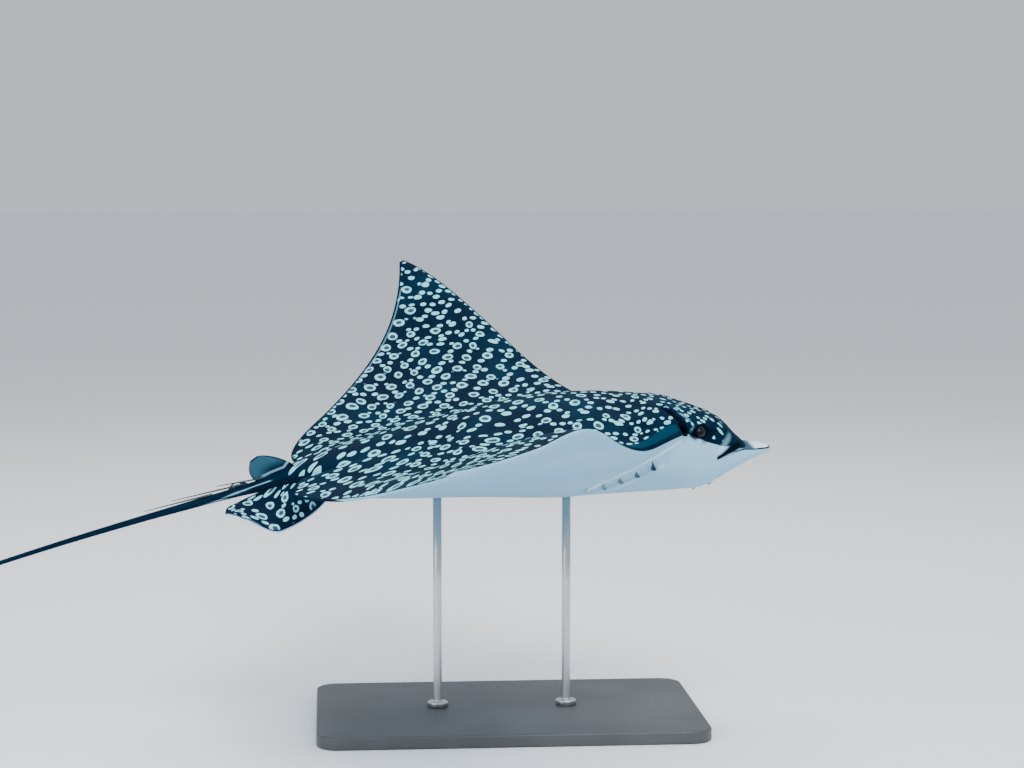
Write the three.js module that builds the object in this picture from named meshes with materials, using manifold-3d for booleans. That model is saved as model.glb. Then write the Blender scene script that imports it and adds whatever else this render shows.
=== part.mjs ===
// Spotted eagle ray, a life-size still model on a display stand. Millimetres, +X ahead, +Y the animal's left,
// +Z up; the origin is the centre of the stand's underside.
// Body places are written (s, y, z): s runs back from the tip of the snout along the straight spine, y is out to
// the left, z is up from the plane of the wings.
import * as THREE from "three";
import Module from "manifold-3d";

const wasm = await Module();
wasm.setup();
const { Manifold, Mesh } = wasm;

// ---------- driving dimensions ----------
const HALF_SPAN = 700;                    // midline to wing tip, measured along the unbent wing
const WING_ROOT = { front: 146, rear: 745 };
const ROOT_THICKNESS = 52;
const TIP_THICKNESS = 5;
const EDGE = 1.5;                         // half the thickness left at every fin margin
const GAP = 0.3;                          // clearance between neighbouring solids
const TAIL_END = 3090;
const PITCH = THREE.MathUtils.degToRad(5.9);
const BANK = THREE.MathUtils.degToRad(5.0);
const SNOUT_AT = new THREE.Vector3(425, 0, 490);

// Profiles along the spine, as [s, value]: crown of the back, keel of the belly, half breadth, height of the side.
const CREST = [
  [40, -38], [46, -30], [56, -19], [71, 1], [86, 16], [111, 29], [143, 42.5], [192, 57], [274, 70.5],
  [340, 75], [393, 75.5], [481, 65.5], [550, 55], [611, 45], [665, 34], [717, 24.5], [745, 19.5],
  [790, 11.5], [850, 7], [960, 5], [1080, 4], [1280, 3.2], [2000, 2.3], [TAIL_END, 1.3],
];
const KEEL = [
  [40, -60], [57, -67], [83, -80.5], [102, -90], [126, -96.5], [160, -95.5], [210, -92.5], [300, -87],
  [360, -84.5], [490, -69], [620, -58], [700, -48], [745, -36], [790, -17], [850, -9.5], [960, -6.5],
  [1080, -5], [1280, -3.6], [2000, -2.5], [TAIL_END, -1.3],
];
const BREADTH = [
  [40, 8], [48, 26], [60, 42], [80, 58], [100, 71], [121, 84], [140, 92], [146, 95], [200, 102], [300, 112],
  [400, 112], [500, 104], [600, 88], [680, 68], [745, 50], [790, 28], [850, 13], [960, 9], [1080, 6.5],
  [1280, 4.6], [2000, 3], [TAIL_END, 1.5],
];
const SIDE = [[40, -50], [70, -36], [100, -20], [130, -3], [146, 8], [200, 3], [300, 0], [745, 0], [TAIL_END, 0]];

// Wing outline as cubic curves of (s, y), and the height of each margin at these shares of the span.
const LEADING = [[WING_ROOT.front, 95], [299, 214], [427, 609], [542, HALF_SPAN]];
const TRAILING = [[WING_ROOT.rear, 50], [876, 166], [572, 378], [552, HALF_SPAN - 3]];
const SPAN_SHARES = [0, 0.15, 0.4, 0.7, 1];
const WING_LIFT = {
  left: { leading: [0, 3, 45, 138, 237], trailing: [0, 6, 44, 124, 237] },
  right: { leading: [0, 4, 76, 94, 114], trailing: [0, -4, 12, 62, 114] },
};

// The tail leaves the trunk drooping, then levels off: slope in degrees below the spine against s.
const TAIL_SLOPE = [[0, 0], [715, 0], [800, 13.5], [860, 9.5], [1420, 12.8], [2100, -6.5], [TAIL_END, -6.5]];
const TAIL_SWAY = { from: 1500, over: 1600, by: 140 };
const TAIL_CUTS = [850, 1130, 1500, 1960, 2500, TAIL_END];

const ROSTRUM = {                         // the flat lobe under the front of the head
  length: 92,
  breadth: [[0, 3], [6, 17], [20, 28], [40, 38], [60, 46], [92, 56]],
  margin: [[0, -48], [12, -46], [25, -44], [37, -42], [50, -40], [80, -43], [92, -46]],
  top: [[0, -46.5], [4, -44.5], [12, -41.5], [20, -39], [28, -41.5], [36, -41.5], [46, -42], [60, -44], [92, -50]],
  keel: [[0, -50], [6, -54], [31, -61], [57, -71], [92, -86]],
};
const EYE = { radius: 11.5, s: 126, y: 77.5, z: 5.5 };
const SPIRACLE = { s: 161, y: 84, z: 30, long: 25, wide: 7, deep: 12 };
const MOUTH = { s: 129, z: -96, halfWidth: 34, long: 4, deep: 6 };
const GILLS = { count: 5, first: [207, 106, -36], last: [313, 78, -70], long: 9, wide: 2.2, deep: 5 };

const PELVIC = {
  leading: [[712, 38], [714, 92], [758, 130], [836, 126]],
  trailing: [[836, 14], [876, 40], [918, 92], [862, 122]],
  thickness: 13, droop: 46, twist: 42, twistFrom: 812, twistOver: 62, tipY: 124,
};
const DORSAL = {
  front: [[764, 8], [778, 24], [798, 44], [820, 46]],
  rear: [[822, 0], [836, 4], [850, 20], [834, 42]],
  thickness: 9,
};
const SPINES = [
  { s: 822, long: 76, rise: 6, y: -2.6 },
  { s: 858, long: 116, rise: 2.6, y: 2.4 },
  { s: 908, long: 112, rise: 1.8, y: -2.4 },
];
const SPINE_WIDTH = 6.4;

const STAND = {
  long: 620, wide: 400, thick: 20, corner: 36, chamfer: 3,
  rodRadius: 7, rodX: [97, -113], rodY: 7, collarRadius: 17, collarHeight: 9, socket: 24,
};

// ---------- small maths ----------
const smooth = (t) => {
  const u = THREE.MathUtils.clamp(t, 0, 1);
  return u * u * (3 - 2 * u);
};

// Cubic curve through [x, value] pairs with the slope of each inner one taken from its neighbours.
function through(pairs, flatStart = false) {
  const last = pairs.length - 1;
  const slope = pairs.map((_, i) => {
    const a = pairs[Math.max(i - 1, 0)];
    const b = pairs[Math.min(i + 1, last)];
    return i === 0 && flatStart ? 0 : (b[1] - a[1]) / (b[0] - a[0]);
  });
  return (x) => {
    let i = 0;
    while (i < last - 1 && x > pairs[i + 1][0]) i += 1;
    const h = pairs[i + 1][0] - pairs[i][0];
    const u = THREE.MathUtils.clamp((x - pairs[i][0]) / h, 0, 1);
    const v = u * u * (3 - 2 * u);
    const rise = h * (u * (1 - u) ** 2 * slope[i] - u * u * (1 - u) * slope[i + 1]);
    return pairs[i][1] * (1 - v) + pairs[i + 1][1] * v + rise;
  };
}

const cubic = (p, t) => [0, 1].map((k) => {
  const r = 1 - t;
  return r ** 3 * p[0][k] + 3 * r * r * t * p[1][k] + 3 * r * t * t * p[2][k] + t ** 3 * p[3][k];
});
const steps = (n) => Array.from({ length: n + 1 }, (_, i) => i / n);
const eased = (n) => steps(n).map((t) => (1 - Math.cos(Math.PI * t)) / 2);

const crest = through(CREST);
const keel = through(KEEL);
const breadth = through(BREADTH);
const side = through(SIDE);
const slopeAt = (s) => {
  const i = Math.max(1, TAIL_SLOPE.findIndex((p) => s <= p[0]));
  const [a, b] = [TAIL_SLOPE[i - 1], TAIL_SLOPE[i]];
  return THREE.MathUtils.degToRad(a[1] + (b[1] - a[1]) * smooth((s - a[0]) / (b[0] - a[0])));
};

// Spine: where station s of the straight body comes to lie once the tail droops.
const SPINE_STEP = 5;
const spine = [[0, 0]];
for (let s = 0; s < TAIL_END + 60; s += SPINE_STEP) {
  const [x, z] = spine[spine.length - 1];
  const a = slopeAt(Math.min(s + SPINE_STEP / 2, TAIL_END));
  spine.push([x - SPINE_STEP * Math.cos(a), z - SPINE_STEP * Math.sin(a)]);
}

// Body place to model place: along the spine, then banked, pitched nose up and lifted onto the stand.
function place(s, y, z) {
  const i = THREE.MathUtils.clamp(Math.floor(s / SPINE_STEP), 0, spine.length - 2);
  const t = s / SPINE_STEP - i;
  const a = s < 0 ? 0 : slopeAt(Math.min(s, TAIL_END));
  const x = spine[i][0] + (spine[i + 1][0] - spine[i][0]) * t;
  const h = spine[i][1] + (spine[i + 1][1] - spine[i][1]) * t;
  const sway = TAIL_SWAY.by * smooth((s - TAIL_SWAY.from) / TAIL_SWAY.over);
  return new THREE.Vector3(x - z * Math.sin(a), y + sway, h + z * Math.cos(a))
    .applyAxisAngle(new THREE.Vector3(1, 0, 0), BANK)
    .applyAxisAngle(new THREE.Vector3(0, 1, 0), -PITCH)
    .add(SNOUT_AT);
}

// ---------- solids ----------
// A closed solid from two grids of points with the same rows and columns, its upper and its lower face.
function slab(upper, lower) {
  const rows = upper.length;
  const cols = upper[0].length;
  const points = [...upper.flat(), ...lower.flat()];
  const at = (face, i, j) => face * rows * cols + i * cols + j;
  const tris = [];
  const quad = (a, b, c, d) => tris.push(a, b, c, a, c, d);
  for (let i = 0; i < rows - 1; i += 1) {
    for (let j = 0; j < cols - 1; j += 1) {
      quad(at(0, i, j), at(0, i + 1, j), at(0, i + 1, j + 1), at(0, i, j + 1));
      quad(at(1, i, j), at(1, i, j + 1), at(1, i + 1, j + 1), at(1, i + 1, j));
    }
    quad(at(0, i, 0), at(1, i, 0), at(1, i + 1, 0), at(0, i + 1, 0));
    quad(at(0, i, cols - 1), at(0, i + 1, cols - 1), at(1, i + 1, cols - 1), at(1, i, cols - 1));
  }
  for (let j = 0; j < cols - 1; j += 1) {
    quad(at(0, 0, j), at(0, 0, j + 1), at(1, 0, j + 1), at(1, 0, j));
    quad(at(0, rows - 1, j), at(1, rows - 1, j), at(1, rows - 1, j + 1), at(0, rows - 1, j + 1));
  }
  let volume = 0;
  for (let k = 0; k < tris.length; k += 3) {
    volume += points[tris[k]].dot(points[tris[k + 1]].clone().cross(points[tris[k + 2]]));
  }
  if (volume < 0) tris.reverse();
  return new Manifold(new Mesh({
    numProp: 3,
    vertProperties: new Float32Array(points.flatMap((p) => [p.x, p.y, p.z])),
    triVerts: new Uint32Array(tris),
  }));
}

// A three.js geometry as a solid.
function solidOf(geometry, move) {
  const key = new Map();
  const g = geometry.toNonIndexed().applyMatrix4(move);
  const p = g.getAttribute("position");
  const vertices = [];
  const tris = [];
  for (let i = 0; i < p.count; i += 1) {
    const v = [p.getX(i), p.getY(i), p.getZ(i)];
    const id = v.map((c) => Math.round(c * 1e3)).join();
    if (!key.has(id)) {
      key.set(id, vertices.length / 3);
      vertices.push(...v);
    }
    tris.push(key.get(id));
  }
  const kept = [];
  for (let i = 0; i < tris.length; i += 3) {
    const [a, b, c] = tris.slice(i, i + 3);
    if (a !== b && b !== c && a !== c) kept.push(a, b, c);
  }
  return new Manifold(new Mesh({
    numProp: 3,
    vertProperties: new Float32Array(vertices),
    triVerts: new Uint32Array(kept),
  }));
}

// An ellipsoid of three half sizes, its axes turned to three directions.
function ellipsoid(centre, half, axes, fine = 12) {
  const turned = new THREE.Matrix4().makeBasis(...axes).setPosition(centre);
  return solidOf(new THREE.SphereGeometry(1, fine, Math.max(4, fine / 2)), turned.scale(half));
}

// Lean of the model axes at a body place: back along the spine, out to the left, and up.
function leanAt(s, y, z) {
  const o = place(s, y, z);
  return {
    centre: o,
    back: place(s + 4, y, z).sub(o).normalize(),
    out: place(s, y + 4, z).sub(o).normalize(),
    up: place(s, y, z + 4).sub(o).normalize(),
  };
}

// ---------- trunk, head and tail ----------
const chordShare = (s) => THREE.MathUtils.clamp((s - WING_ROOT.front) / (WING_ROOT.rear - WING_ROOT.front), 0, 1);
// Section of a wing from its leading edge: blunt in front, thickest at a third, thin behind.
const airfoil = (c) => Math.sqrt(c) * (1 - c) ** 1.1 / 0.37;
const shoulder = (c) => smooth(c / 0.12) * smooth((1 - c) / 0.12);
const backHump = (y, w) => 1 / (1 + (Math.abs(y) / (1.02 * w)) ** 3);
const bellyHump = (y, w) => 1 / (1 + (Math.abs(y) / (0.88 * w)) ** 4);
const rootRise = (c) => EDGE + 0.55 * ROOT_THICKNESS * airfoil(c);
const rootDrop = (c) => EDGE + 0.45 * ROOT_THICKNESS * airfoil(c);

// Height of the skin above or below the plane of the wings at share r of the half breadth.
function bodyHeight(s, r, upper, grow = 0) {
  const c = chordShare(s);
  const w = breadth(s);
  const k = shoulder(c);
  const round = upper ? (1 - Math.abs(r) ** 2.3) ** (1 / 2.3) : (1 - Math.abs(r) ** 2.6) ** (1 / 2.6);
  const bell = upper ? backHump(r * w, w) : bellyHump(r * w, w);
  const shape = (1 - k) * round + k * bell;
  const from = side(s) + (upper ? rootRise(c) : -rootDrop(c));
  const to = upper ? crest(s) + grow : keel(s) - grow;
  return from + (to - from) * shape;
}

const ACROSS = eased(14).map((t) => 2 * t - 1);
function bodySlab(stations, across = ACROSS, grow = 0) {
  const face = (upper) => stations.map((s) => across.map((r) => (
    place(s, r * (breadth(s) + grow), bodyHeight(s, r, upper, grow))
  )));
  return slab(face(true), face(false));
}
const between = (a, b, n) => steps(n).map((t) => a + (b - a) * t);

const headStations = [40, 44, 50, 58, 68, 80, 94, 110, 127, WING_ROOT.front - GAP];
const WING_CHORD = eased(14);
const rootStations = WING_CHORD.map((c) => WING_ROOT.front + c * (WING_ROOT.rear - WING_ROOT.front));
const trunkStations = [...rootStations, 762, 785, 815, TAIL_CUTS[0] - GAP];
let head = bodySlab(headStations);
let trunk = bodySlab(trunkStations);

// ---------- rostral lobe ----------
const lobeWide = through(ROSTRUM.breadth);
const lobeMargin = through(ROSTRUM.margin);
const lobeTop = through(ROSTRUM.top);
const lobeKeel = through(ROSTRUM.keel);
function lobe() {
  const stations = [0, 2, 6, 13, 22, 34, 48, 62, 78, ROSTRUM.length];
  const face = (upper) => stations.map((s) => eased(12).map((t) => {
    const r = 2 * t - 1;
    const edge = lobeMargin(s) + (upper ? EDGE : -EDGE);
    const to = upper ? lobeTop(s) : lobeKeel(s);
    const arch = upper ? 1 - r * r : (1 - Math.abs(r) ** 2.6) ** (1 / 2.6);
    return place(s, r * lobeWide(s), edge + (to - edge) * arch);
  }));
  return slab(face(true), face(false));
}
const headRoom = bodySlab([39.7, ...headStations.slice(1, -1), 146], ACROSS, GAP);
const rostral = lobe().subtract(headRoom);
const largest = (solid) => solid.decompose().sort((a, b) => b.volume() - a.volume())[0];

// ---------- eyes, spiracles, mouth and gill slits ----------
const eyes = {};
for (const [name, hand] of [["left", 1], ["right", -1]]) {
  const at = leanAt(EYE.s, hand * EYE.y, EYE.z);
  const axes = [at.back, at.out, at.back.clone().cross(at.out)];
  const ball = (r) => ellipsoid(at.centre, new THREE.Vector3(r, r, r), axes, 12);
  eyes[name] = ball(EYE.radius);
  head = head.subtract(ball(EYE.radius + GAP));

  const hole = leanAt(SPIRACLE.s, hand * SPIRACLE.y, SPIRACLE.z);
  const along = place(SPIRACLE.s + 11, hand * (SPIRACLE.y - 14), SPIRACLE.z + 16).sub(hole.centre).normalize();
  const wide = along.clone().cross(hole.out).normalize();
  const half = new THREE.Vector3(SPIRACLE.long, SPIRACLE.wide, SPIRACLE.deep);
  const pit = ellipsoid(hole.centre, half, [along, wide, along.clone().cross(wide)], 10);
  trunk = trunk.subtract(pit);
  head = head.subtract(pit);

  for (const t of steps(GILLS.count - 1)) {
    const [s, y, z] = GILLS.first.map((a, k) => a + (GILLS.last[k] - a) * t);
    const slit = leanAt(s, hand * y, z);
    const lean = slit.out.clone().multiplyScalar(hand).add(slit.up.clone().multiplyScalar(0.75)).normalize();
    const size = new THREE.Vector3(GILLS.wide, GILLS.long, GILLS.deep);
    trunk = trunk.subtract(ellipsoid(slit.centre, size, [slit.back, lean, slit.back.clone().cross(lean)], 6));
  }
}
const lips = leanAt(MOUTH.s, 0, MOUTH.z);
const gape = new THREE.Vector3(MOUTH.long, MOUTH.halfWidth, MOUTH.deep);
head = head.subtract(ellipsoid(lips.centre, gape, [lips.back, lips.out, lips.up.clone().negate()], 8));

// ---------- wings ----------
const WING_SPAN = steps(18).map((t) => 0.65 * t + 0.35 * t * (2 - t));

// Planform point at chord share c and span share v, drawn onto the side of the body at the root.
function planform(c, v) {
  const a = cubic(LEADING, v);
  const b = cubic(TRAILING, v);
  const s = WING_ROOT.front + c * (WING_ROOT.rear - WING_ROOT.front);
  const root = [s, breadth(s)];
  return [0, 1].map((k) => {
    const line = LEADING[0][k] * (1 - c) + TRAILING[0][k] * c;
    return a[k] * (1 - c) + b[k] * c + (root[k] - line) * (1 - v) ** 3;
  });
}

function wing(hand, lift) {
  const front = through(SPAN_SHARES.map((q, i) => [q, lift.leading[i]]), true);
  const rear = through(SPAN_SHARES.map((q, i) => [q, lift.trailing[i]]), true);
  const columns = WING_CHORD.map((c) => {
    const plan = WING_SPAN.map((v) => planform(c, v));
    const y0 = plan[0][1];
    const share = plan.map((p) => (p[1] - y0) / (HALF_SPAN - y0));
    const root = side(plan[0][0]);
    const rise = share.map((q) => front(q) * (1 - c) + rear(q) * c + root * (1 - smooth(q / 0.3)));
    const out = [y0 + GAP];
    for (let i = 1; i < plan.length; i += 1) {
      const dy = plan[i][1] - plan[i - 1][1];
      const dz = rise[i] - rise[i - 1];
      out.push(out[i - 1] + Math.sqrt(Math.max(dy * dy - dz * dz, (0.2 * dy) ** 2)));
    }
    return { c, plan, share, rise, out };
  });
  const face = (upper) => WING_SPAN.map((v, i) => columns.map(({ c, plan, rise, out }) => {
    const [s, y] = plan[i];
    const s0 = plan[0][0];
    const w = breadth(s0);
    const a = Math.max(i - 1, 0);
    const b = Math.min(i + 1, plan.length - 1);
    const lean = THREE.MathUtils.clamp((rise[b] - rise[a]) / (plan[b][1] - plan[a][1]), -0.95, 0.95);
    const thick = TIP_THICKNESS + (ROOT_THICKNESS - TIP_THICKNESS) * (1 - v) ** 1.4;
    const k = shoulder(c);
    const offset = upper
      ? EDGE + 0.55 * thick * airfoil(c) + (crest(s0) - side(s0) - rootRise(c)) * k * backHump(y, w)
      : -EDGE - 0.45 * thick * airfoil(c) + (keel(s0) - side(s0) + rootDrop(c)) * k * bellyHump(y, w);
    const tilt = i === 0 ? 0 : lean;
    return place(s, hand * (out[i] - offset * tilt), rise[i] + offset * Math.sqrt(1 - tilt * tilt));
  }));
  return slab(face(true), face(false));
}
const wings = { left: wing(1, WING_LIFT.left), right: wing(-1, WING_LIFT.right) };

// ---------- pelvic fins and dorsal fin ----------
function pelvic(hand) {
  const face = (upper) => eased(10).map((v) => eased(8).map((c) => {
    const a = cubic(PELVIC.leading, v);
    const b = cubic(PELVIC.trailing, v);
    const s = a[0] + (b[0] - a[0]) * c;
    const y = a[1] + (b[1] - a[1]) * c;
    const twist = PELVIC.twist * smooth((s - PELVIC.twistFrom) / PELVIC.twistOver);
    const z = -8 - (PELVIC.droop - twist) * (y / PELVIC.tipY) ** 1.3;
    const half = EDGE + 0.5 * PELVIC.thickness * airfoil(c) * (1 - 0.8 * v);
    return place(s, hand * y, z + (upper ? half : -half));
  }));
  return slab(face(true), face(false));
}
const trunkRoom = bodySlab(trunkStations, ACROSS, GAP);
const pelvics = {};
for (const [name, hand] of [["left", 1], ["right", -1]]) {
  pelvics[name] = largest(pelvic(hand).subtract(trunkRoom).subtract(wings[name].translate([0, 0, -GAP])));
}

function dorsal() {
  const face = (hand) => eased(6).map((v) => eased(6).map((c) => {
    const a = cubic(DORSAL.front, v);
    const b = cubic(DORSAL.rear, v);
    const half = EDGE * 0.7 + 0.5 * DORSAL.thickness * airfoil(c) * (1 - 0.75 * v);
    return place(a[0] + (b[0] - a[0]) * c, hand * half, a[1] + (b[1] - a[1]) * c);
  }));
  return slab(face(1), face(-1));
}

// ---------- tail and its spines ----------
const TAIL_ACROSS = eased(5).map((t) => 2 * t - 1);
const tails = TAIL_CUTS.slice(1).map((end, i) => {
  const from = TAIL_CUTS[i];
  return bodySlab(between(from, end - (i < TAIL_CUTS.length - 2 ? GAP : 0), 7), TAIL_ACROSS);
});

// A flattened tapering spine that leaves the top of the tail at a small angle.
function tailSpine({ s, long, rise, y }, grow = 0) {
  const tilt = Math.tan(THREE.MathUtils.degToRad(rise));
  const stations = [-grow / long, 0.08, 0.3, 0.55, 0.8, 1 + grow / long];
  const face = (upper) => stations.map((t) => [-1, -0.5, 0, 0.5, 1].map((r) => {
    const half = 0.5 * SPINE_WIDTH * (1 - 0.78 * Math.max(t, 0) ** 1.6) + grow;
    const thin = (0.4 * half + 0.5) * (1 - 0.6 * r * r) + grow;
    const lie = crest(s) + long * t * tilt + 1.2;
    return place(s + long * t, y + r * half, lie + (upper ? thin : -thin * 0.7));
  }));
  return slab(face(true), face(false));
}
let dorsalFin = dorsal().subtract(trunkRoom);
const spineSolids = [];
for (const size of SPINES) {
  const room = tailSpine(size, GAP);
  let made = tailSpine(size);
  for (const other of spineSolids) made = made.subtract(tailSpine(other.size, GAP));
  trunk = trunk.subtract(room);
  tails[0] = tails[0].subtract(room);
  dorsalFin = dorsalFin.subtract(room);
  spineSolids.push({ size, solid: largest(made) });
}

// ---------- display stand ----------
const rodTop = (x) => {
  const s = (SNOUT_AT.x - x) / Math.cos(PITCH);
  return place(s, 0, keel(s)).z + STAND.socket;
};
function roundedPlate() {
  const { long, wide, thick, corner, chamfer } = STAND;
  const outline = (inset) => {
    const r = corner - inset;
    return [[1, 1], [-1, 1], [-1, -1], [1, -1]].flatMap(([px, py], q) => steps(5).map((t) => {
      const a = (q + t) * Math.PI / 2;
      return [px * (long / 2 - corner) + r * Math.cos(a), py * (wide / 2 - corner) + r * Math.sin(a)];
    }));
  };
  const levels = [[0, 0], [thick - chamfer, 0], [thick, chamfer]];
  const rings = levels.map(([z, inset]) => outline(inset).map(([x, y]) => new THREE.Vector3(x, y, z)));
  const half = rings[0].length / 2;
  const left = rings.map((ring) => ring.slice(0, half));
  const right = rings.map((ring) => ring.slice(half).reverse());
  return slab(left, right);
}
function rod(x) {
  const profile = [
    [0, STAND.thick + GAP], [STAND.collarRadius, STAND.thick + GAP],
    [STAND.collarRadius, STAND.thick + STAND.collarHeight - 2],
    [STAND.collarRadius - 2, STAND.thick + STAND.collarHeight],
    [STAND.rodRadius, STAND.thick + STAND.collarHeight], [STAND.rodRadius, rodTop(x)], [0, rodTop(x)],
  ].map(([r, z]) => new THREE.Vector2(r, z));
  const turned = new THREE.Matrix4().makeTranslation(x, STAND.rodY, 0)
    .multiply(new THREE.Matrix4().makeRotationX(Math.PI / 2));
  return solidOf(new THREE.LatheGeometry(profile, 20), turned);
}
function rodRoom(x) {
  const shape = new THREE.CylinderGeometry(STAND.rodRadius + GAP, STAND.rodRadius + GAP, 200, 20);
  const turned = new THREE.Matrix4().makeTranslation(x, STAND.rodY, rodTop(x) + GAP - 100)
    .multiply(new THREE.Matrix4().makeRotationX(Math.PI / 2));
  return solidOf(shape, turned);
}
const rods = STAND.rodX.map(rod);
for (const x of STAND.rodX) trunk = trunk.subtract(rodRoom(x));

// ---------- materials and named meshes ----------
const skin = new THREE.MeshStandardMaterial({ name: "skin", color: 0x16303c, roughness: 0.5, metalness: 0 });
const eyeGloss = new THREE.MeshStandardMaterial({ name: "eye", color: 0x05070a, roughness: 0.1, metalness: 0 });
const bone = new THREE.MeshStandardMaterial({ name: "spine", color: 0xc9c4ae, roughness: 0.55, metalness: 0 });
const plate = new THREE.MeshStandardMaterial({
  name: "stand_paint", color: 0x2b2e31, roughness: 0.45, metalness: 0,
});
const steel = new THREE.MeshStandardMaterial({
  name: "stand_steel", color: 0xa9adb0, roughness: 0.3, metalness: 1,
});

const group = new THREE.Group();
group.name = "spotted_eagle_ray";
function add(name, solid, material) {
  const { vertProperties, numProp, triVerts } = solid.getMesh();
  const count = vertProperties.length / numProp;
  const xyz = new Float32Array(count * 3);
  for (let i = 0; i < count; i += 1) {
    for (let k = 0; k < 3; k += 1) xyz[3 * i + k] = vertProperties[i * numProp + k];
  }
  const geometry = new THREE.BufferGeometry();
  geometry.setAttribute("position", new THREE.BufferAttribute(xyz, 3));
  geometry.setIndex(new THREE.BufferAttribute(new Uint32Array(triVerts), 1));
  geometry.computeVertexNormals();
  const mesh = new THREE.Mesh(geometry, material);
  mesh.name = name;
  group.add(mesh);
}

add("head", largest(head), skin);
add("rostral_lobe", largest(rostral), skin);
add("trunk", largest(trunk), skin);
for (const name of ["left", "right"]) {
  add("wing_" + name, wings[name], skin);
  add("pelvic_fin_" + name, pelvics[name], skin);
  add("eye_" + name, eyes[name], eyeGloss);
}
add("dorsal_fin", largest(dorsalFin), skin);
tails.forEach((solid, i) => add("tail_" + (i + 1), largest(solid), skin));
spineSolids.forEach(({ solid }, i) => add("tail_spine_" + (i + 1), solid, bone));
add("stand_base", roundedPlate(), plate);
add("stand_rod_front", rods[0], steel);
add("stand_rod_rear", rods[1], steel);

export default group;
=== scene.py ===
import bmesh
import bpy
import numpy as np
from mathutils import Matrix


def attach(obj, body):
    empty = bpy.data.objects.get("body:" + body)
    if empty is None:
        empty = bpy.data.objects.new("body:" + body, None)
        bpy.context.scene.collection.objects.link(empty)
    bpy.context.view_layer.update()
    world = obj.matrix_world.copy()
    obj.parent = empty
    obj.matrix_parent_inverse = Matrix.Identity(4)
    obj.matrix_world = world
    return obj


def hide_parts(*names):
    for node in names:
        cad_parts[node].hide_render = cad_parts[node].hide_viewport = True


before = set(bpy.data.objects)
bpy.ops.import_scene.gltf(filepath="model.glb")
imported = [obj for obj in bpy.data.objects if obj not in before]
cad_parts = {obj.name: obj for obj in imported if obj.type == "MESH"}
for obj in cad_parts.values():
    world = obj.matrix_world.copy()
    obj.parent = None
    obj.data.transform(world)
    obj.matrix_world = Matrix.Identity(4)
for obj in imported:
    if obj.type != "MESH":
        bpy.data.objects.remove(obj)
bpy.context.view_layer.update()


# ---------------------------------------------------------------- skin: body line
# The animal is soft gristle and muscle under one scaleless hide, so its head, trunk, wings and tail are one
# continuous surface. Stations run back from the snout tip along a spine that droops once it becomes the tail.
TAIL_END = 3090.0
PITCH, BANK = np.radians(5.9), np.radians(5.0)
SNOUT_AT = np.array([425.0, 0.0, 490.0])
# Degrees below the body's own line, against station.
TAIL_SLOPE = [(0, 0), (715, 0), (800, 13.5), (860, 9.5), (1420, 12.8), (2100, -6.5), (TAIL_END, -6.5)]
SWAY_FROM, SWAY_OVER, SWAY_BY = 1500.0, 1600.0, 140.0
MM = 0.001  # all sizes are in millimetres, and a finished mesh is in metres


def smooth(t):
    """Eases from 0 to 1: three t squared less two t cubed, with t held between 0 and 1."""
    t = np.clip(t, 0.0, 1.0)
    return t * t * (3.0 - 2.0 * t)


def tail_slope(s):
    """Slope of the spine below the body line in radians, eased between its knots."""
    x, v = np.array(TAIL_SLOPE, float).T
    i = np.clip(np.searchsorted(x, s) - 1, 0, len(x) - 2)
    return np.radians(v[i] + (v[i + 1] - v[i]) * smooth((s - x[i]) / (x[i + 1] - x[i])))


SPINE_STEP = 5.0
spine_s = np.arange(0.0, TAIL_END + 60.0, SPINE_STEP)
spine_mid = tail_slope(np.minimum(spine_s[:-1] + SPINE_STEP / 2, TAIL_END))
spine_x = np.concatenate([[0.0], -np.cumsum(SPINE_STEP * np.cos(spine_mid))])
spine_z = np.concatenate([[0.0], -np.cumsum(SPINE_STEP * np.sin(spine_mid))])


def place(points):
    """Body places (s, y, z) in mm to the model's own in metres: along the spine, banked, pitched, lifted."""
    s, y, z = np.moveaxis(np.asarray(points, float), -1, 0)
    a = np.where(s < 0, 0.0, tail_slope(np.clip(s, 0.0, TAIL_END)))
    x = np.where(s < 0, -s, np.interp(s, spine_s, spine_x)) - z * np.sin(a)
    h = np.interp(s, spine_s, spine_z) + z * np.cos(a)
    y = y + SWAY_BY * smooth((s - SWAY_FROM) / SWAY_OVER)
    y, h = y * np.cos(BANK) - h * np.sin(BANK), y * np.sin(BANK) + h * np.cos(BANK)
    x, h = x * np.cos(PITCH) - h * np.sin(PITCH), x * np.sin(PITCH) + h * np.cos(PITCH)
    return (np.stack([x, y, h], -1) + SNOUT_AT) * MM


# ---------------------------------------------------------------- skin: head, trunk and tail
# A gristle skull in front, then the deep muscle of the back that fades sideways into the wings and rearwards
# into a whip tail. Each section is an upper and a lower arch over the same breadth, a hair apart at the side.
WING_FRONT, WING_REAR = 146.0, 745.0
ROOT_THICKNESS, EDGE = 52.0, 1.5  # the wing's where it joins the trunk, and half that of its rim
ABOVE_SHARE, BELOW_SHARE = 0.55, 0.45  # of the wing's thickness, over and under its middle


def through(pairs, flat_start=False):
    """A cubic curve through (x, value) pairs; each inner slope is the chord between the neighbours."""
    x, v = np.array(pairs, float).T
    slope = np.empty_like(v)
    slope[1:-1] = (v[2:] - v[:-2]) / (x[2:] - x[:-2])
    slope[0] = 0.0 if flat_start else (v[1] - v[0]) / (x[1] - x[0])
    slope[-1] = (v[-1] - v[-2]) / (x[-1] - x[-2])

    def curve(at):
        at = np.asarray(at, float)
        i = np.clip(np.searchsorted(x, at) - 1, 0, len(x) - 2)
        h = x[i + 1] - x[i]
        u = np.clip((at - x[i]) / h, 0.0, 1.0)
        k = u * u * (3.0 - 2.0 * u)
        rise = h * (u * (1 - u) ** 2 * slope[i] - u * u * (1 - u) * slope[i + 1])
        return v[i] * (1 - k) + v[i + 1] * k + rise

    return curve


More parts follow.
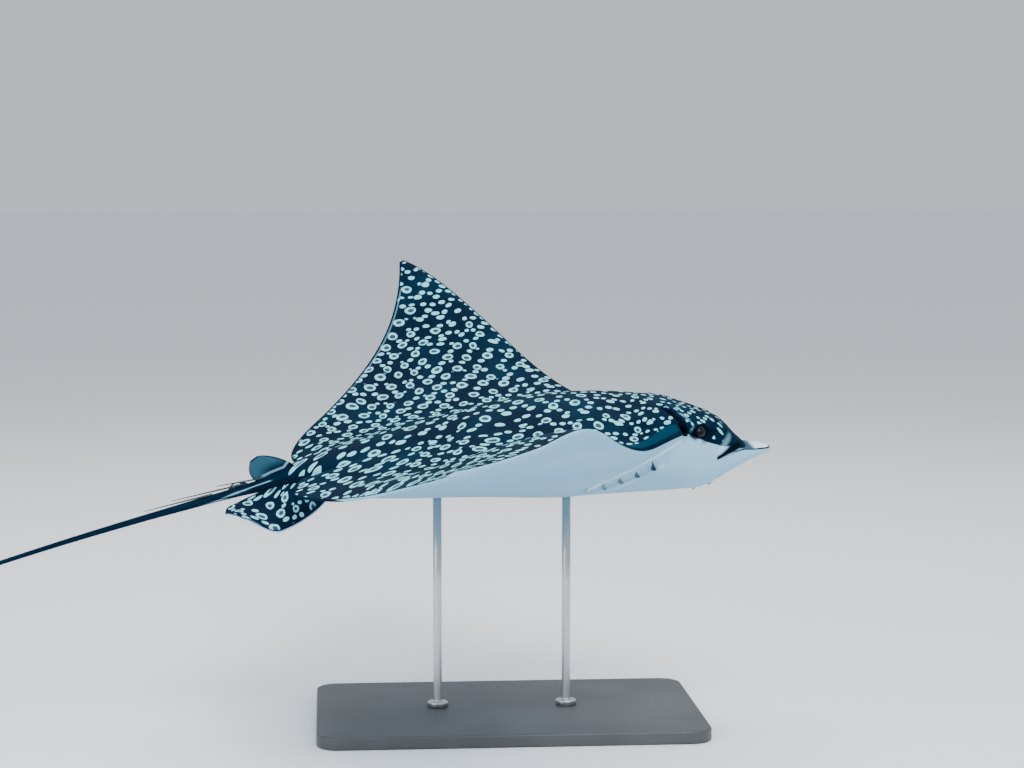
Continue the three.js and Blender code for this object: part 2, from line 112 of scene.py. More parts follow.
# Against station: height of the back and of the belly in the middle, half the breadth, and the sides' height.
crest = through([(40, -38), (46, -30), (56, -19), (71, 1), (86, 16), (111, 29), (143, 42.5), (192, 57),
    (274, 70.5), (340, 75), (393, 75.5), (481, 65.5), (550, 55), (611, 45), (665, 34), (717, 24.5),
    (745, 19.5), (790, 11.5), (850, 7), (960, 5), (1080, 4), (1280, 3.2), (2000, 2.3), (TAIL_END, 1.3)])
keel = through([(40, -60), (57, -67), (83, -80.5), (102, -90), (126, -96.5), (160, -95.5), (210, -92.5),
    (300, -87), (360, -84.5), (490, -69), (620, -58), (700, -48), (745, -36), (790, -17), (850, -9.5),
    (960, -6.5), (1080, -5), (1280, -3.6), (2000, -2.5), (TAIL_END, -1.3)])
breadth = through([(40, 8), (48, 26), (60, 42), (80, 58), (100, 71), (121, 84), (140, 92), (146, 95),
    (200, 102), (300, 112), (400, 112), (500, 104), (600, 88), (680, 68), (745, 50), (790, 28), (850, 13),
    (960, 9), (1080, 6.5), (1280, 4.6), (2000, 3), (TAIL_END, 1.5)])
side = through([(40, -50), (70, -36), (100, -20), (130, -3), (146, 8), (200, 3), (300, 0), (745, 0),
                (TAIL_END, 0)])


def airfoil(c):
    """Thickness of the wing from its leading edge: root of c times (1 - c) to 1.1, scaled to 1 at its most."""
    return np.sqrt(c) * (1.0 - c) ** 1.1 / 0.37


def shoulder(c):
    """How far the back stands over the wing root: eased in over the first and last eighth of the chord."""
    return smooth(c / 0.12) * smooth((1.0 - c) / 0.12)


def back_hump(y, w):
    """Height share over the wing: one over 1 plus the cube of y to 1.02 half breadths."""
    return 1.0 / (1.0 + (np.abs(y) / (1.02 * w)) ** 3)


def belly_hump(y, w):
    """Depth share under the wing: one over 1 plus the fourth power of y to 0.88 half breadths."""
    return 1.0 / (1.0 + (np.abs(y) / (0.88 * w)) ** 4)


def body_face(s, r, upper):
    """Points over stations s and shares r of the half breadth. Ahead of and behind the wings the arch is a
    superellipse; between them it is a bell that the wing carries on; the two are blended by shoulder."""
    s, r = np.meshgrid(s, r, indexing="ij")
    c = np.clip((s - WING_FRONT) / (WING_REAR - WING_FRONT), 0.0, 1.0)
    w, k, power = breadth(s), shoulder(c), 2.3 if upper else 2.6
    arch = (1.0 - np.minimum(np.abs(r), 1.0) ** power) ** (1.0 / power)
    shape = (1.0 - k) * arch + k * (back_hump if upper else belly_hump)(r * w, w)
    part = ABOVE_SHARE if upper else BELOW_SHARE
    start = side(s) + (1 if upper else -1) * (EDGE + part * ROOT_THICKNESS * airfoil(c))
    return np.stack([s, r * w, start + ((crest if upper else keel)(s) - start) * shape], -1)


def spread(knots):
    """Numbers laid between knots (value, steps to the next), evenly within each stretch."""
    parts = [np.linspace(a[0], b[0], int(a[1]) + 1)[:-1] for a, b in zip(knots[:-1], knots[1:])]
    return np.concatenate(parts + [[knots[-1][0]]])


stations = spread([(40, 7), (50, 24), (100, 23), (WING_FRONT, 14), (175, 52), (310, 62), (WING_REAR, 20),
                   (860, 32), (1500, 22), (2300, 14), (TAIL_END, 0)])
half_upper = spread([(0, 12), (0.5, 25), (1, 0)])
half_lower = spread([(0, 12), (0.45, 27), (1, 0)])
across_upper = np.sin(np.pi / 2 * np.concatenate([-half_upper[:0:-1], half_upper]))
across_lower = np.sin(np.pi / 2 * np.concatenate([-half_lower[:0:-1], half_lower]))
upper = body_face(stations, across_upper, True)
lower = body_face(stations, across_lower, False)


def arc_from_middle(face):
    """Signed length round each section from the midline, so that a pattern isn't stretched on a steep side."""
    step = np.linalg.norm(np.diff(face[..., 1:], axis=1), axis=-1)
    total = np.concatenate([np.zeros((len(face), 1)), np.cumsum(step, 1)], 1)
    return total - total[:, [face.shape[1] // 2]]


# ---------------------------------------------------------------- skin: wings
# Each wing is the animal's pectoral fin: stiff gristle rays in muscle, thick at the shoulder and thin as card
# at the falcate tip. It grows out of the trunk's side with no step and is bent along its span.
HALF_SPAN, TIP_THICKNESS = 700.0, 5.0
LEADING = np.array([(WING_FRONT, 95.0), (299, 214), (427, 609), (542, HALF_SPAN)], float)
TRAILING = np.array([(WING_REAR, 50.0), (876, 166), (572, 378), (552, HALF_SPAN - 3)], float)
SPAN_SHARES = (0, 0.15, 0.4, 0.7, 1)
# Height of the leading and of the trailing margin at those shares: 1 is the left wing, -1 the right.
WING_LIFT = {
    1: ((0, 3, 45, 138, 237), (0, 6, 44, 124, 237)),
    -1: ((0, 4, 76, 94, 114), (0, -4, 12, 62, 114)),
}
STEEPEST, SHORTEST_STEP = 0.95, 0.2


def cubic(p, t):
    """Cubic curve of four control points."""
    t = np.asarray(t, float)[..., None]
    return (1 - t) ** 3 * p[0] + 3 * (1 - t) ** 2 * t * p[1] + 3 * (1 - t) * t * t * p[2] + t ** 3 * p[3]


wing_rows = (stations >= WING_FRONT) & (stations <= WING_REAR)
wing_s = stations[wing_rows]
wing_c = np.clip((wing_s - WING_FRONT) / (WING_REAR - WING_FRONT), 0.0, 1.0)
span = spread([(0, 26), (0.14, 30), (0.55, 26), (1, 0)])


def wing_plan():
    """Flat outline filled in: leading and trailing curves joined by straight chords, drawn onto the trunk's
    side at the root by the root's offset times (1 - v) cubed."""
    a, b = cubic(LEADING, span)[:, None], cubic(TRAILING, span)[:, None]
    c = wing_c[None, :, None]
    root = np.stack([wing_s, breadth(wing_s)], -1)[None]
    line = LEADING[0] * (1 - c) + TRAILING[0] * c
    return a * (1 - c) + b * c + (root - line) * (1 - span[:, None, None]) ** 3


plan = wing_plan()


def wing_faces(hand):
    """Upper and lower faces. Height follows the two margins' lift curves along the span, blended over the
    chord; each step out is shortened so the wing's surface keeps its length; thickness stands square to it."""
    front, rear = (through(list(zip(SPAN_SHARES, lift)), True) for lift in WING_LIFT[hand])
    s, y = plan[..., 0], plan[..., 1]
    share = (y - y[:1]) / (HALF_SPAN - y[:1])
    rise = front(share) * (1 - wing_c) + rear(share) * wing_c + side(wing_s) * (1 - smooth(share / 0.3))
    dy, dz = np.diff(y, axis=0), np.diff(rise, axis=0)
    out = np.sqrt(np.maximum(dy * dy - dz * dz, (SHORTEST_STEP * dy) ** 2))
    out = np.concatenate([y[:1], y[:1] + np.cumsum(out, 0)], 0)
    lean = np.clip(np.gradient(rise, axis=0) / np.gradient(y, axis=0), -STEEPEST, STEEPEST)
    lean[0] = 0.0
    thick = (TIP_THICKNESS + (ROOT_THICKNESS - TIP_THICKNESS) * (1 - span) ** 1.4)[:, None] * airfoil(wing_c)
    root, w, k = ROOT_THICKNESS * airfoil(wing_c), breadth(wing_s), shoulder(wing_c)
    up, down = EDGE + ABOVE_SHARE * thick, -EDGE - BELOW_SHARE * thick
    above = up + (crest(wing_s) - side(wing_s) - EDGE - ABOVE_SHARE * root) * k * back_hump(y, w)
    below = down + (keel(wing_s) - side(wing_s) + EDGE + BELOW_SHARE * root) * k * belly_hump(y, w)
    return [np.stack([s, hand * (out - off * lean), rise + off * np.sqrt(1 - lean ** 2)], -1)
            for off in (above, below)]


# ---------------------------------------------------------------- skin: sewing the faces together
# The hide has no join anywhere, from snout to tail tip. Its faces are grids that share their edge points, so
# that they close into one bag; what the markings need to know of each point travels with it.
MERGE_STEPS = 500.0  # to the millimetre: points nearer than one step are one point
BODY_TONE, BILL_TONE, PELVIC_TONE, DORSAL_TONE = 0.0, 1.0, 2.0, 3.0  # tells the paint which part it is on


class Hide:
    """Grids gathered into one mesh. Every grid point carries its flat place for the pattern and its depth
    inside the dark back (positive) or the pale underside (negative), both in mm."""

    def __init__(self):
        self.points, self.flat, self.shore, self.ring, self.tone = [], [], [], [], []
        self.quads = []
        self.count = 0

    def grid(self, points, flat, shore, ring, tone=BODY_TONE):
        """Adds a grid of points and its faces, and gives back the points' numbers."""
        rows, cols = points.shape[:2]
        index = self.count + np.arange(rows * cols).reshape(rows, cols)
        for store, values, width in ((self.points, points, 3), (self.flat, flat, 2)):
            store.append(np.reshape(values, (-1, width)))
        for store, values in ((self.shore, shore), (self.ring, ring), (self.tone, tone)):
            store.append(np.broadcast_to(values, (rows, cols)).ravel())
        self.count += rows * cols
        self.band(index[:-1, :-1], index[1:, :-1], index[1:, 1:], index[:-1, 1:])
        return index

    def band(self, a, b, c, d, keep=None):
        """Four-cornered faces from four arrays of corner numbers; keep marks the ones that are made."""
        cells = np.stack([a, b, c, d], -1)
        self.quads.append(cells.reshape(-1, 4) if keep is None else cells[keep])

    def sides(self, a, b):
        """Sews two grids of one outline together round all four sides."""
        for i in (0, -1):
            self.band(a[:-1, i], a[1:, i], b[1:, i], b[:-1, i])
            self.band(a[i, :-1], a[i, 1:], b[i, 1:], b[i, :-1])

    def sewn(self):
        """Points merged where grids meet, faces on merged points, and the faces' own grid point numbers. A
        four-cornered face with two corners in one place becomes three-cornered."""
        points, quads = np.concatenate(self.points), np.concatenate(self.quads)
        key = np.round(points * MERGE_STEPS).astype(np.int64)
        _, first, merged = np.unique(key, axis=0, return_index=True, return_inverse=True)
        merged = merged.reshape(-1)
        same = merged[quads] == merged[np.roll(quads, -1, 1)]
        corner_sets = [quads[~same.any(1)]]
        for k in range(4):
            only = same[:, k] & (same.sum(1) == 1)
            corner_sets.append(np.delete(quads[only], k, 1))
        return points[first], merged, [c for c in corner_sets if len(c)]


MARGIN_POINTS = 90
outline = np.concatenate([cubic(LEADING, np.linspace(0, 1, MARGIN_POINTS)),
                          cubic(TRAILING, np.linspace(1, 0, MARGIN_POINTS))])


def from_line(p, line):
    """Shortest distance of points to a run of straight pieces."""
    line = np.asarray(line, float)
    d = np.diff(line, axis=0)
    away = p[:, None] - line[:-1]
    t = np.clip((away * d).sum(-1) / (d * d).sum(-1), 0, 1)
    return np.linalg.norm(away - t[..., None] * d, axis=-1).min(1)


def from_margin(s, y, line):
    """The same in the flat, for grids of stations and of offsets to either side."""
    return from_line(np.stack([np.ravel(s), np.abs(np.ravel(y))], -1), line).reshape(np.shape(s))


# On the head the dark back ends along this line, given as height against station; far down on the tail.
pale_line = through([(40, -44), (55, -37), (70, -30), (86, -25), (97, -20), (114, -11.5), (132, 0.3),
                     (146, 7.7), (200, 0), (690, 0), (745, -24), (770, -34), (840, -40), (TAIL_END, -40)])
PALE_LAP, CORNER_SHADE_LAP = 5.0, 9.0


def pale_rim(s, hand):
    """On the right wing a pale band runs along the top of the margin, from the shoulder to near the rear
    corner.
    """
    return PALE_LAP * (hand < 0) * smooth((s - 270.0) / 60.0) * (1 - smooth((s - 690.0) / 30.0))


def shaded_corner(s):
    """Painted shade under each wing, round its rear corner."""
    return CORNER_SHADE_LAP * smooth((s - 685.0) / 35.0)


def body_shore(face, is_upper):
    """Depth into the dark or pale skin on head, trunk and tail: height over the pale line on head and tail,
    distance from the wing margin between them."""
    s, y, z = np.moveaxis(face, -1, 0)
    line = z - pale_line(s)
    disc = (1 if is_upper else -1) * (from_margin(s, y, outline) + EDGE) - pale_rim(s, y) * is_upper
    k = smooth((s - WING_FRONT) / 40.0) * smooth((752.0 - s) / 30.0)
    return line * (1 - k) + disc * k


BELLY_SHIFT = 6000.0  # sets the flat places of the underside clear of those of the back
hide = Hide()
arc_upper, arc_lower = arc_from_middle(upper), arc_from_middle(lower)
flat_upper = np.stack([upper[..., 0], arc_upper], -1)
flat_lower = np.stack([lower[..., 0] + BELLY_SHIFT, arc_lower], -1)
ring_body = 0.25 * smooth((upper[..., 0] - 150.0) / 80.0) + 0.35 * smooth((upper[..., 0] - 280.0) / 200.0)
top = hide.grid(upper, flat_upper, body_shore(upper, True), ring_body)
under = hide.grid(lower, flat_lower, body_shore(lower, False), 0.0)
free = (stations[:-1] < WING_FRONT) | (stations[1:] > WING_REAR)
for edge in (0, -1):
    hide.band(top[:-1, edge], top[1:, edge], under[1:, edge], under[:-1, edge], free)
for end in (0, -1):
    tip_point = 0.5 * (upper[end].mean(0) + lower[end].mean(0))[None, None]
    hub = hide.grid(tip_point, flat_upper[[[end]], 0], 2.0 if end else -2.0, 0.0)[0, 0]
    rim = np.concatenate([top[end], under[end, ::-1]])
    following = np.roll(rim, -1)
    hide.quads.append(np.stack([np.full(len(rim), hub), rim, following, following], -1))

# Rings take the place of ovals within 120 mm of the leading margin, and are fewer again at the tip.
s, y = plan[..., 0], plan[..., 1]
margin, leading_margin = from_margin(s, y, outline), from_margin(s, y, outline[:MARGIN_POINTS])
ring = np.clip(0.05 + leading_margin / 120.0, 0.0, 1.0) * (1 - 0.45 * smooth((y - 480) / 200))
for hand in (1, -1):
    above, below = wing_faces(hand)
    root_edge = -1 if hand > 0 else 0
    over = arc_upper[wing_rows][:, root_edge][None] + hand * (y - y[:1])
    beneath = arc_lower[wing_rows][:, root_edge][None] + hand * (y - y[:1])
    a = hide.grid(above, np.stack([s, over], -1), margin + EDGE - pale_rim(s, hand), ring)
    # The underside's depth, with painted shade at its rear corner.
    b = hide.grid(below, np.stack([s + BELLY_SHIFT, beneath], -1), shaded_corner(s) - margin - EDGE, 0.0)
    for i in (0, -1):
        hide.band(a[:-1, i], a[1:, i], b[1:, i], b[:-1, i])
    hide.band(a[-1, :-1], a[-1, 1:], b[-1, 1:], b[-1, :-1])


def outward(points, corner_sets, merged):
    """Unit normal at each merged point: the sum of its faces' cross products, turned to point out."""
    normal = np.zeros_like(points)
    for corners in corner_sets:
        v = points[merged[corners]]
        cross = np.cross(v[:, 2] - v[:, 0], v[:, -1] - v[:, 1])
        for k in range(corners.shape[1]):
            np.add.at(normal, merged[corners[:, k]], cross)
    return normal / np.maximum(np.linalg.norm(normal, axis=1, keepdims=True), 1e-9)


# ---------------------------------------------------------------- skin: face, spiracles and gills
# The lids stand round the bulging eye, the spiracle behind it is a deep slanting pit with a raised rim, the
# mouth and nostrils lie underneath, and five gill slits a side lie in a shallow trough between two folds.
EYE = np.array([126.0, 77.5, 5.5])
EYE_RADIUS = 11.5
SPIRACLE = [(172, 68, 46), (161, 85, 31), (149, 97, 13)]
SPIRACLE_LID = [(168, 74, 46), (156, 80, 37), (142, 84, 27)]
BROW = [(92, 66, 4), (146, 80, 23)]
CHEEK, PATCH = (108.0, -1.0), (80.5, -21.5)
MOUTH, NOSTRIL, VENT = 129.0, (108.0, 27.0), 733.0
NOSTRIL_FLAP = [(110, 28, 0), (129, 35, 0)]
TAIL_LIGHT = ([810.0, 834.0, 863.0, 906.0], [4.9, 3.5, 1.1, -4.9])
GILL_ROW = np.array([(207.0, 106.0, -36.0), (313.0, 78.0, -70.0)])
GILLS, GILL_HALF, FOLD_POINTS = 5, 7.0, 18


def softened(line):
    """A run of points filled in by smooth curves over its stations."""
    s, y, z = np.array(line, float).T
    fine = np.linspace(s[0], s[-1], FOLD_POINTS)
    return np.stack([fine, through(list(zip(s, y)))(fine), through(list(zip(s, z)))(fine)], -1)


UPPER_FOLD = softened([(158, 98, -4), (165, 100, -8), (195, 112, -18), (230, 122, -30), (269, 108, -48),
                       (316, 74, -72)])
LOWER_FOLD = softened([(186, 101, -36), (204, 103, -47), (228, 92, -60), (277, 58, -80)])
SNOUT_GROOVE = [(54, 34, -32), (62, 42, -33), (78, 56, -35), (97, 68, -41)]


def bump(distance, half):
    """A rounded ridge: e to the minus square of distance over its half width."""
    return np.exp(-(distance / half) ** 2)


def pit(distance, inner, outer):
    """1 inside inner, eased to 0 at outer."""
    return 1.0 - smooth((distance - inner) / (outer - inner))


THROAT_FACES = np.array([0.0, 0.80, -0.60])
gill_along = (GILL_ROW[1] - GILL_ROW[0]) / np.linalg.norm(GILL_ROW[1] - GILL_ROW[0])
gill_across = np.cross(gill_along, THROAT_FACES)
GILL_STEP = np.linalg.norm(GILL_ROW[1] - GILL_ROW[0]) / (GILLS - 1)


def gill_place(p):
    """Place along the gill row in gill spaces and across it in mm, seen square to the side of the throat."""
    away = np.stack([p[:, 0], np.abs(p[:, 1]), p[:, 2]], -1) - GILL_ROW[0]
    return np.stack([away @ gill_along / GILL_STEP, away @ gill_across], -1)


def face_relief(p):
    """How far the skin stands out (or, negative, in) at each body place, in mm, and how much painted shade (or,
    negative, painted highlight) lies there, with a darker cheek and a pale patch among them: two sums of ridges
    and pits."""
    s, y, z = p.T
    q = np.stack([s, np.abs(y), z], -1)
    ya = q[:, 1]
    # The lids round the eye and the brow over it, with painted shade round the eye, a painted highlight on the
    # rim behind it and a darker cheek ahead of it.
    flank = smooth((ya - 62.0) / 10.0)
    lid = np.hypot((s - EYE[0]) / 12.0, (z - EYE[2]) / np.where(z > EYE[2], 8.0, 7.5))
    out = flank * (-7.0 * pit(lid, 0.78, 1.0) + (2.2 + 1.4 * (z > EYE[2])) * bump(lid - 1.18, 0.22))
    out += 2.6 * bump(from_line(q, BROW), 9.0) * (1 - bump(lid, 0.9))
    cheek = np.hypot((s - CHEEK[0]) / 17.0, (z - CHEEK[1] + 0.62 * (s - CHEEK[0])) / 9.0)
    shade = flank * (0.8 * pit(lid, 1.0, 1.6) - 0.8 * bump(lid - 1.5, 0.14) * smooth((s - EYE[0] - 4) / 6))
    shade += 0.5 * pit(cheek, 0.6, 1.4) * smooth((ya - 50.0) / 12.0)
    # The spiracle and its rim, with painted shade down its pit and a painted highlight along its rim.
    hole, rim = from_line(q, SPIRACLE) / 8.0, from_line(q, SPIRACLE_LID)
    out += -14.0 * pit(hole, 0.25, 1.05) + 3.0 * bump(rim, 5.0) + 1.6 * bump(hole - 1.5, 0.35)
    shade += 1.2 * pit(hole, 0.5, 1.3) - 0.7 * bump(rim, 3.6)
    # The two folds of the throat, the trough between them and the gill slits in it; painted shade lies in the
    # trough and painted highlights along the folds.
    upper_fold, lower_fold = from_line(q, UPPER_FOLD), from_line(q, LOWER_FOLD)
    row = from_line(q, GILL_ROW)
    out += 4.0 * bump(upper_fold, 5.0) + 3.2 * bump(lower_fold, 5.0) - 3.0 * bump(row, 8.0)
    shade += 0.34 * bump(row, 13.0) * (1 - bump(upper_fold, 6.0)) * (1 - bump(lower_fold, 5.0))
    shade -= 0.75 * bump(upper_fold, 3.8) + 0.5 * bump(lower_fold, 3.4)
    for t in np.linspace(0, 1, GILLS):
        middle = GILL_ROW[0] * (1 - t) + GILL_ROW[1] * t
        slit = from_line(q, [middle - GILL_HALF * gill_across, middle + GILL_HALF * gill_across])
        out += -3.4 * bump(slit, 3.2) + 1.4 * bump(slit - 7.0, 3.0)
    # The groove over the bill, darkened by painted shade, with a pale patch above it.
    groove = from_line(q, SNOUT_GROOVE)
    patch = np.hypot((s - PATCH[0]) / 17.0, (z - PATCH[1] + 0.8 * (s - PATCH[0])) / 9.0)
    out += -3.0 * bump(groove, 4.4)
    shade += 1.2 * bump(groove, 3.6 + 2.6 * smooth((98.0 - s) / 26.0))
    shade -= 0.50 * pit(patch, 0.25, 1.45) * smooth((ya - 30.0) / 12.0)
    # Lips, nostrils and their flap on the underside, with painted shade in the mouth, the nostrils and along
    # the flap, and a painted highlight where light catches the chin.
    lowest = smooth((-66.0 - z) / 8.0)
    lips = s - (MOUTH + 0.006 * y * y)
    width = 1 - smooth((ya - 30.0) / 12.0)
    out += lowest * width * (-3.4 * bump(lips, 3.0) + 1.0 * bump(lips - 9, 6.0) + 1.8 * bump(lips + 12, 9.0))
    nostril = np.hypot((s - NOSTRIL[0]) / 1.2, ya - NOSTRIL[1])
    flap = from_line(q * [1, 1, 0], NOSTRIL_FLAP)
    out += lowest * (-2.6 * pit(nostril, 1.0, 7.0) - 0.5 * bump(flap, 3.0))
    shade += lowest * (0.9 * width * bump(lips, 2.6) + 0.9 * pit(nostril, 2.0, 6.5) + 0.35 * bump(flap, 2.2))
    shade -= 0.6 * lowest * bump(ya, 12.0) * smooth((118.0 - s) / 6.0) * smooth((s - 86.0) / 10.0)
    # A dip in the crown between the eyes, the vent with painted shade in it, and a painted highlight along each
    # side of the tail's root.
    out += -2.2 * bump(np.hypot((s - 122) / 1.6, y), 20.0) * (z > 0)
    vent = np.hypot((s - VENT) / 3.2, y)
    out += (-3.0 * bump(vent, 4.5) + 1.4 * bump(vent - 8.0, 4.0)) * (z < 0)
    lit = np.interp(s, *TAIL_LIGHT)
    shade -= 1.0 * bump(z - lit, 0.8) * (ya > 0.5 * breadth(s)) * smooth((s - 806) / 8) * smooth((930 - s) / 20)
    return out, shade + 0.5 * bump(vent, 4.0) * (z < 0)


# Millimetres from spot to spot along the body, and from row to row at each distance out from the midline.
SPOT_GAP = 17.5
SPOT_ROWS = [(-700, 40), (-500, 50), (-350, 66), (-220, 64), (-180, 48), (-150, 33), (-120, 28), (-90, 34),
             (-60, 43), (0, 54), (60, 43), (250, 39), (300, 37), (400, 31), (700, 28)]
HEAD_SHIFT, HEAD_CROWD, REAR_SHIFT, REAR_THIN = 70.0, 0.8, 30.0, 0.25
PELVIC_CROWD = (1.2, 1.35)
ARC_STEP = 4.0
row_arc = np.arange(-1200.0, 1201.0, ARC_STEP)
row_count = np.cumsum(ARC_STEP / np.interp(row_arc, *np.array(SPOT_ROWS, float).T))
row_count -= np.interp(0.0, row_arc, row_count)


def pattern_place(flat, tone):
    """Flat place to counts of spots along the body and of spot rows out from the midline: sums of the spaces
    passed. Both counts run faster over the head and on the pelvic fins, and slower on the right rear corner."""
    s, y = flat.T
    rear = smooth((s - 580.0) / 160.0) * smooth(-y / 60.0)
    along = (s - HEAD_SHIFT * (1 - smooth((s - 60.0) / 240.0)) - REAR_SHIFT * rear) / SPOT_GAP
    faster = 1.0 + HEAD_CROWD * (1 - smooth((s - 90.0) / 160.0)) - REAR_THIN * rear
    rows = np.interp(y, row_arc, row_count) * faster
    crowded = np.where(tone[:, None] == PELVIC_TONE, PELVIC_CROWD, 1.0)
    return np.stack([along, rows], -1) * crowded


def make_piece(name, hide, relief=None, at=place):
    """A closed hide as a Blender mesh in metres, raised by its relief, with what the paint reads as UV maps."""
    points, merged, corner_sets = hide.sewn()
    shade = np.zeros(len(points))
    if relief is not None:
        normal = outward(points, corner_sets, merged)
        middle = points.mean(0)
        turn = np.sign(((points - middle) * normal).sum())
        raised, shade = relief(points)
        points = points + turn * normal * raised[:, None]
    flat = np.concatenate(hide.flat)
    shore, ring, tone = (np.concatenate(part) for part in (hide.shore, hide.ring, hide.tone))
    mesh = bpy.data.meshes.new(name)
    polygons = [list(map(int, row)) for corners in corner_sets for row in merged[corners]]
    mesh.from_pydata(at(points).tolist(), [], polygons)
    loops = np.concatenate([corners.ravel() for corners in corner_sets])
    gills = gill_place(points)[merged]
    for layer, values in (("flat", flat * MM), ("pattern", pattern_place(flat, tone)), ("gills", gills),
                          ("depth", np.stack([shore, ring], -1)),
                          ("kind", np.stack([tone, shade[merged]], -1))):
        mesh.uv_layers.new(name=layer).data.foreach_set("uv", values[loops].ravel())
    work = bmesh.new()
    work.from_mesh(mesh)
    bmesh.ops.recalc_face_normals(work, faces=work.faces)
    if work.calc_volume(signed=True) < 0:
        bmesh.ops.reverse_faces(work, faces=work.faces)
    work.to_mesh(mesh)
    work.free()
    mesh.polygons.foreach_set("use_smooth", np.ones(len(mesh.polygons), bool))
    piece = bpy.data.objects.new(name, mesh)
    bpy.context.scene.collection.objects.link(piece)
    return piece


body = make_piece("body", hide, face_relief)


# ---------------------------------------------------------------- skin: rostral lobe
# A flat fleshy bill of soft gristle under the front of the skull, which the animal roots in sand with. It is
# thin at its rounded margin, thickens rearwards and runs into the cheeks; a groove parts it from the forehead.
LOBE_LONG = 92.0
lobe_breadth = through([(0, 3), (4, 14), (12, 23), (25, 31), (40, 38), (60, 46), (92, 57)])
lobe_margin = through([(0, -48), (12, -46), (25, -44), (37, -42), (50, -40), (80, -43), (92, -46)])
lobe_top = through([(0, -46.5), (4, -44.5), (12, -41.5), (20, -39), (28, -41.5), (36, -41.5), (46, -42),
                    (60, -44), (92, -50)])
lobe_keel = through([(0, -50), (6, -54), (31, -61), (57, -71), (92, -86)])


def closed_pair(piece, above, below, flat, shore, ring=0.0, tone=BODY_TONE):
    """Two grids of one outline sewn round all four sides."""
    piece.sides(piece.grid(above, flat, shore + EDGE, ring, tone),
                piece.grid(below, flat + [BELLY_SHIFT, 0], -shore - EDGE, 0.0, tone))


def lobe_faces():
    """Over stations and shares r of the breadth: the top domes by 1 - r squared over a margin line, and the
    chin is a superellipse of power 2.6 hung from the same line."""
    s, r = np.meshgrid(LOBE_LONG * np.linspace(0, 1, 46) ** 1.6, np.sin(np.pi / 2 * np.linspace(-1, 1, 45)),
                       indexing="ij")
    margin, y = lobe_margin(s), r * lobe_breadth(s)
    above = margin + EDGE + (lobe_top(s) - margin - EDGE) * (1 - r * r)
    below = margin - EDGE + (lobe_keel(s) - margin + EDGE) * (1 - np.abs(r) ** 2.6) ** (1 / 2.6)
    return np.stack([s, y, above], -1), np.stack([s, y, below], -1)


lobe_hide = Hide()
lobe_above, lobe_below = lobe_faces()
lobe_edge = np.minimum(lobe_breadth(lobe_above[..., 0]) - np.abs(lobe_above[..., 1]), lobe_above[..., 0])
closed_pair(lobe_hide, lobe_above, lobe_below, lobe_above[..., :2], lobe_edge, 0.0, BILL_TONE)
lobe = make_piece("lobe", lobe_hide)


# ---------------------------------------------------------------- skin: pelvic fins
# Two soft rounded fins of thin gristle rays under skin. They grow from the flanks behind the wings, under the
# root of the tail, and hang outwards and down.
PELVIC_LEADING = np.array([(712, 38), (714, 92), (758, 130), (836, 126)], float)
PELVIC_TRAILING = np.array([(836, 14), (876, 40), (918, 92), (862, 122)], float)
PELVIC_THICK, PELVIC_DROOP, PELVIC_REACH, PELVIC_TWIST, PELVIC_RIPPLE = 13.0, 46.0, 124.0, 42.0, 2.4


def fin_shares(count):
    """Shares of a fin's height, even, and of its chord, closer together at both ends by a cosine."""
    even = np.linspace(0, 1, count)
    return np.meshgrid(even, 0.5 - 0.5 * np.cos(np.pi * even), indexing="ij")


def pelvic_faces(hand):
    """Chords between two margin curves, with an airfoil that thins outwards; the fin droops by its share of
    the reach to 1.3, and its hind margin ripples in three low waves."""
    v, c = fin_shares(40)
    a, b = cubic(PELVIC_LEADING, v), cubic(PELVIC_TRAILING, v)
    flat = a * (1 - c[..., None]) + b * c[..., None]
    s, y = flat[..., 0], flat[..., 1]
    z = -8.0 - (PELVIC_DROOP - PELVIC_TWIST * smooth((s - 812.0) / 62.0)) * (y / PELVIC_REACH) ** 1.3
    z += PELVIC_RIPPLE * np.sin(v * 17.0) * c ** 3 * v
    half = EDGE + 0.5 * PELVIC_THICK * airfoil(c) * (1 - 0.8 * v)
    edge = np.minimum.reduce([100 * c, 110 * (1 - c), 100 * (1 - v) + 6])
    return (np.stack([s, hand * y, z + half], -1), np.stack([s, hand * y, z - half], -1),
            np.stack([s, hand * y], -1), edge)


pelvics = []
for name, hand in (("left", 1), ("right", -1)):
    fin_hide = Hide()
    above, below, flat, edge = pelvic_faces(hand)
    closed_pair(fin_hide, above, below, flat, edge, 1.0, PELVIC_TONE)
    pelvics.append(make_piece("pelvic_" + name, fin_hide))


# ---------------------------------------------------------------- skin: dorsal fin
# One small upright fin of gristle and skin on the root of the tail, just ahead of the spines. It is rounded on
# top and thin behind.
DORSAL_FRONT = np.array([(764, 8), (778, 24), (798, 44), (820, 46)], float)
DORSAL_REAR = np.array([(822, 0), (836, 4), (850, 20), (834, 42)], float)
DORSAL_THICK = 9.0
DORSAL_SHORE = 9.0  # one depth all over, so that no part of the fin is pale


def dorsal_faces():
    """Chords between the front and rear margins, (station, height), thickest at a third and thin on top."""
    v, c = fin_shares(30)
    profile = cubic(DORSAL_FRONT, v) * (1 - c[..., None]) + cubic(DORSAL_REAR, v) * c[..., None]
    half = 0.7 * EDGE + 0.5 * DORSAL_THICK * airfoil(c) * (1 - 0.75 * v)
    s, z = profile[..., 0], profile[..., 1]
    rim = np.minimum(np.minimum(60 * c, 60 * (1 - c)), 44 * (1 - v))
    return np.stack([s, half, z], -1), np.stack([s, -half, z], -1), profile, rim / 10.0


fin_hide = Hide()
dorsal_left, dorsal_right, dorsal_flat, dorsal_rim = dorsal_faces()
fin_hide.sides(*(fin_hide.grid(face, dorsal_flat, DORSAL_SHORE, dorsal_rim, DORSAL_TONE)
                 for face in (dorsal_left, dorsal_right)))
dorsal = make_piece("dorsal", fin_hide)


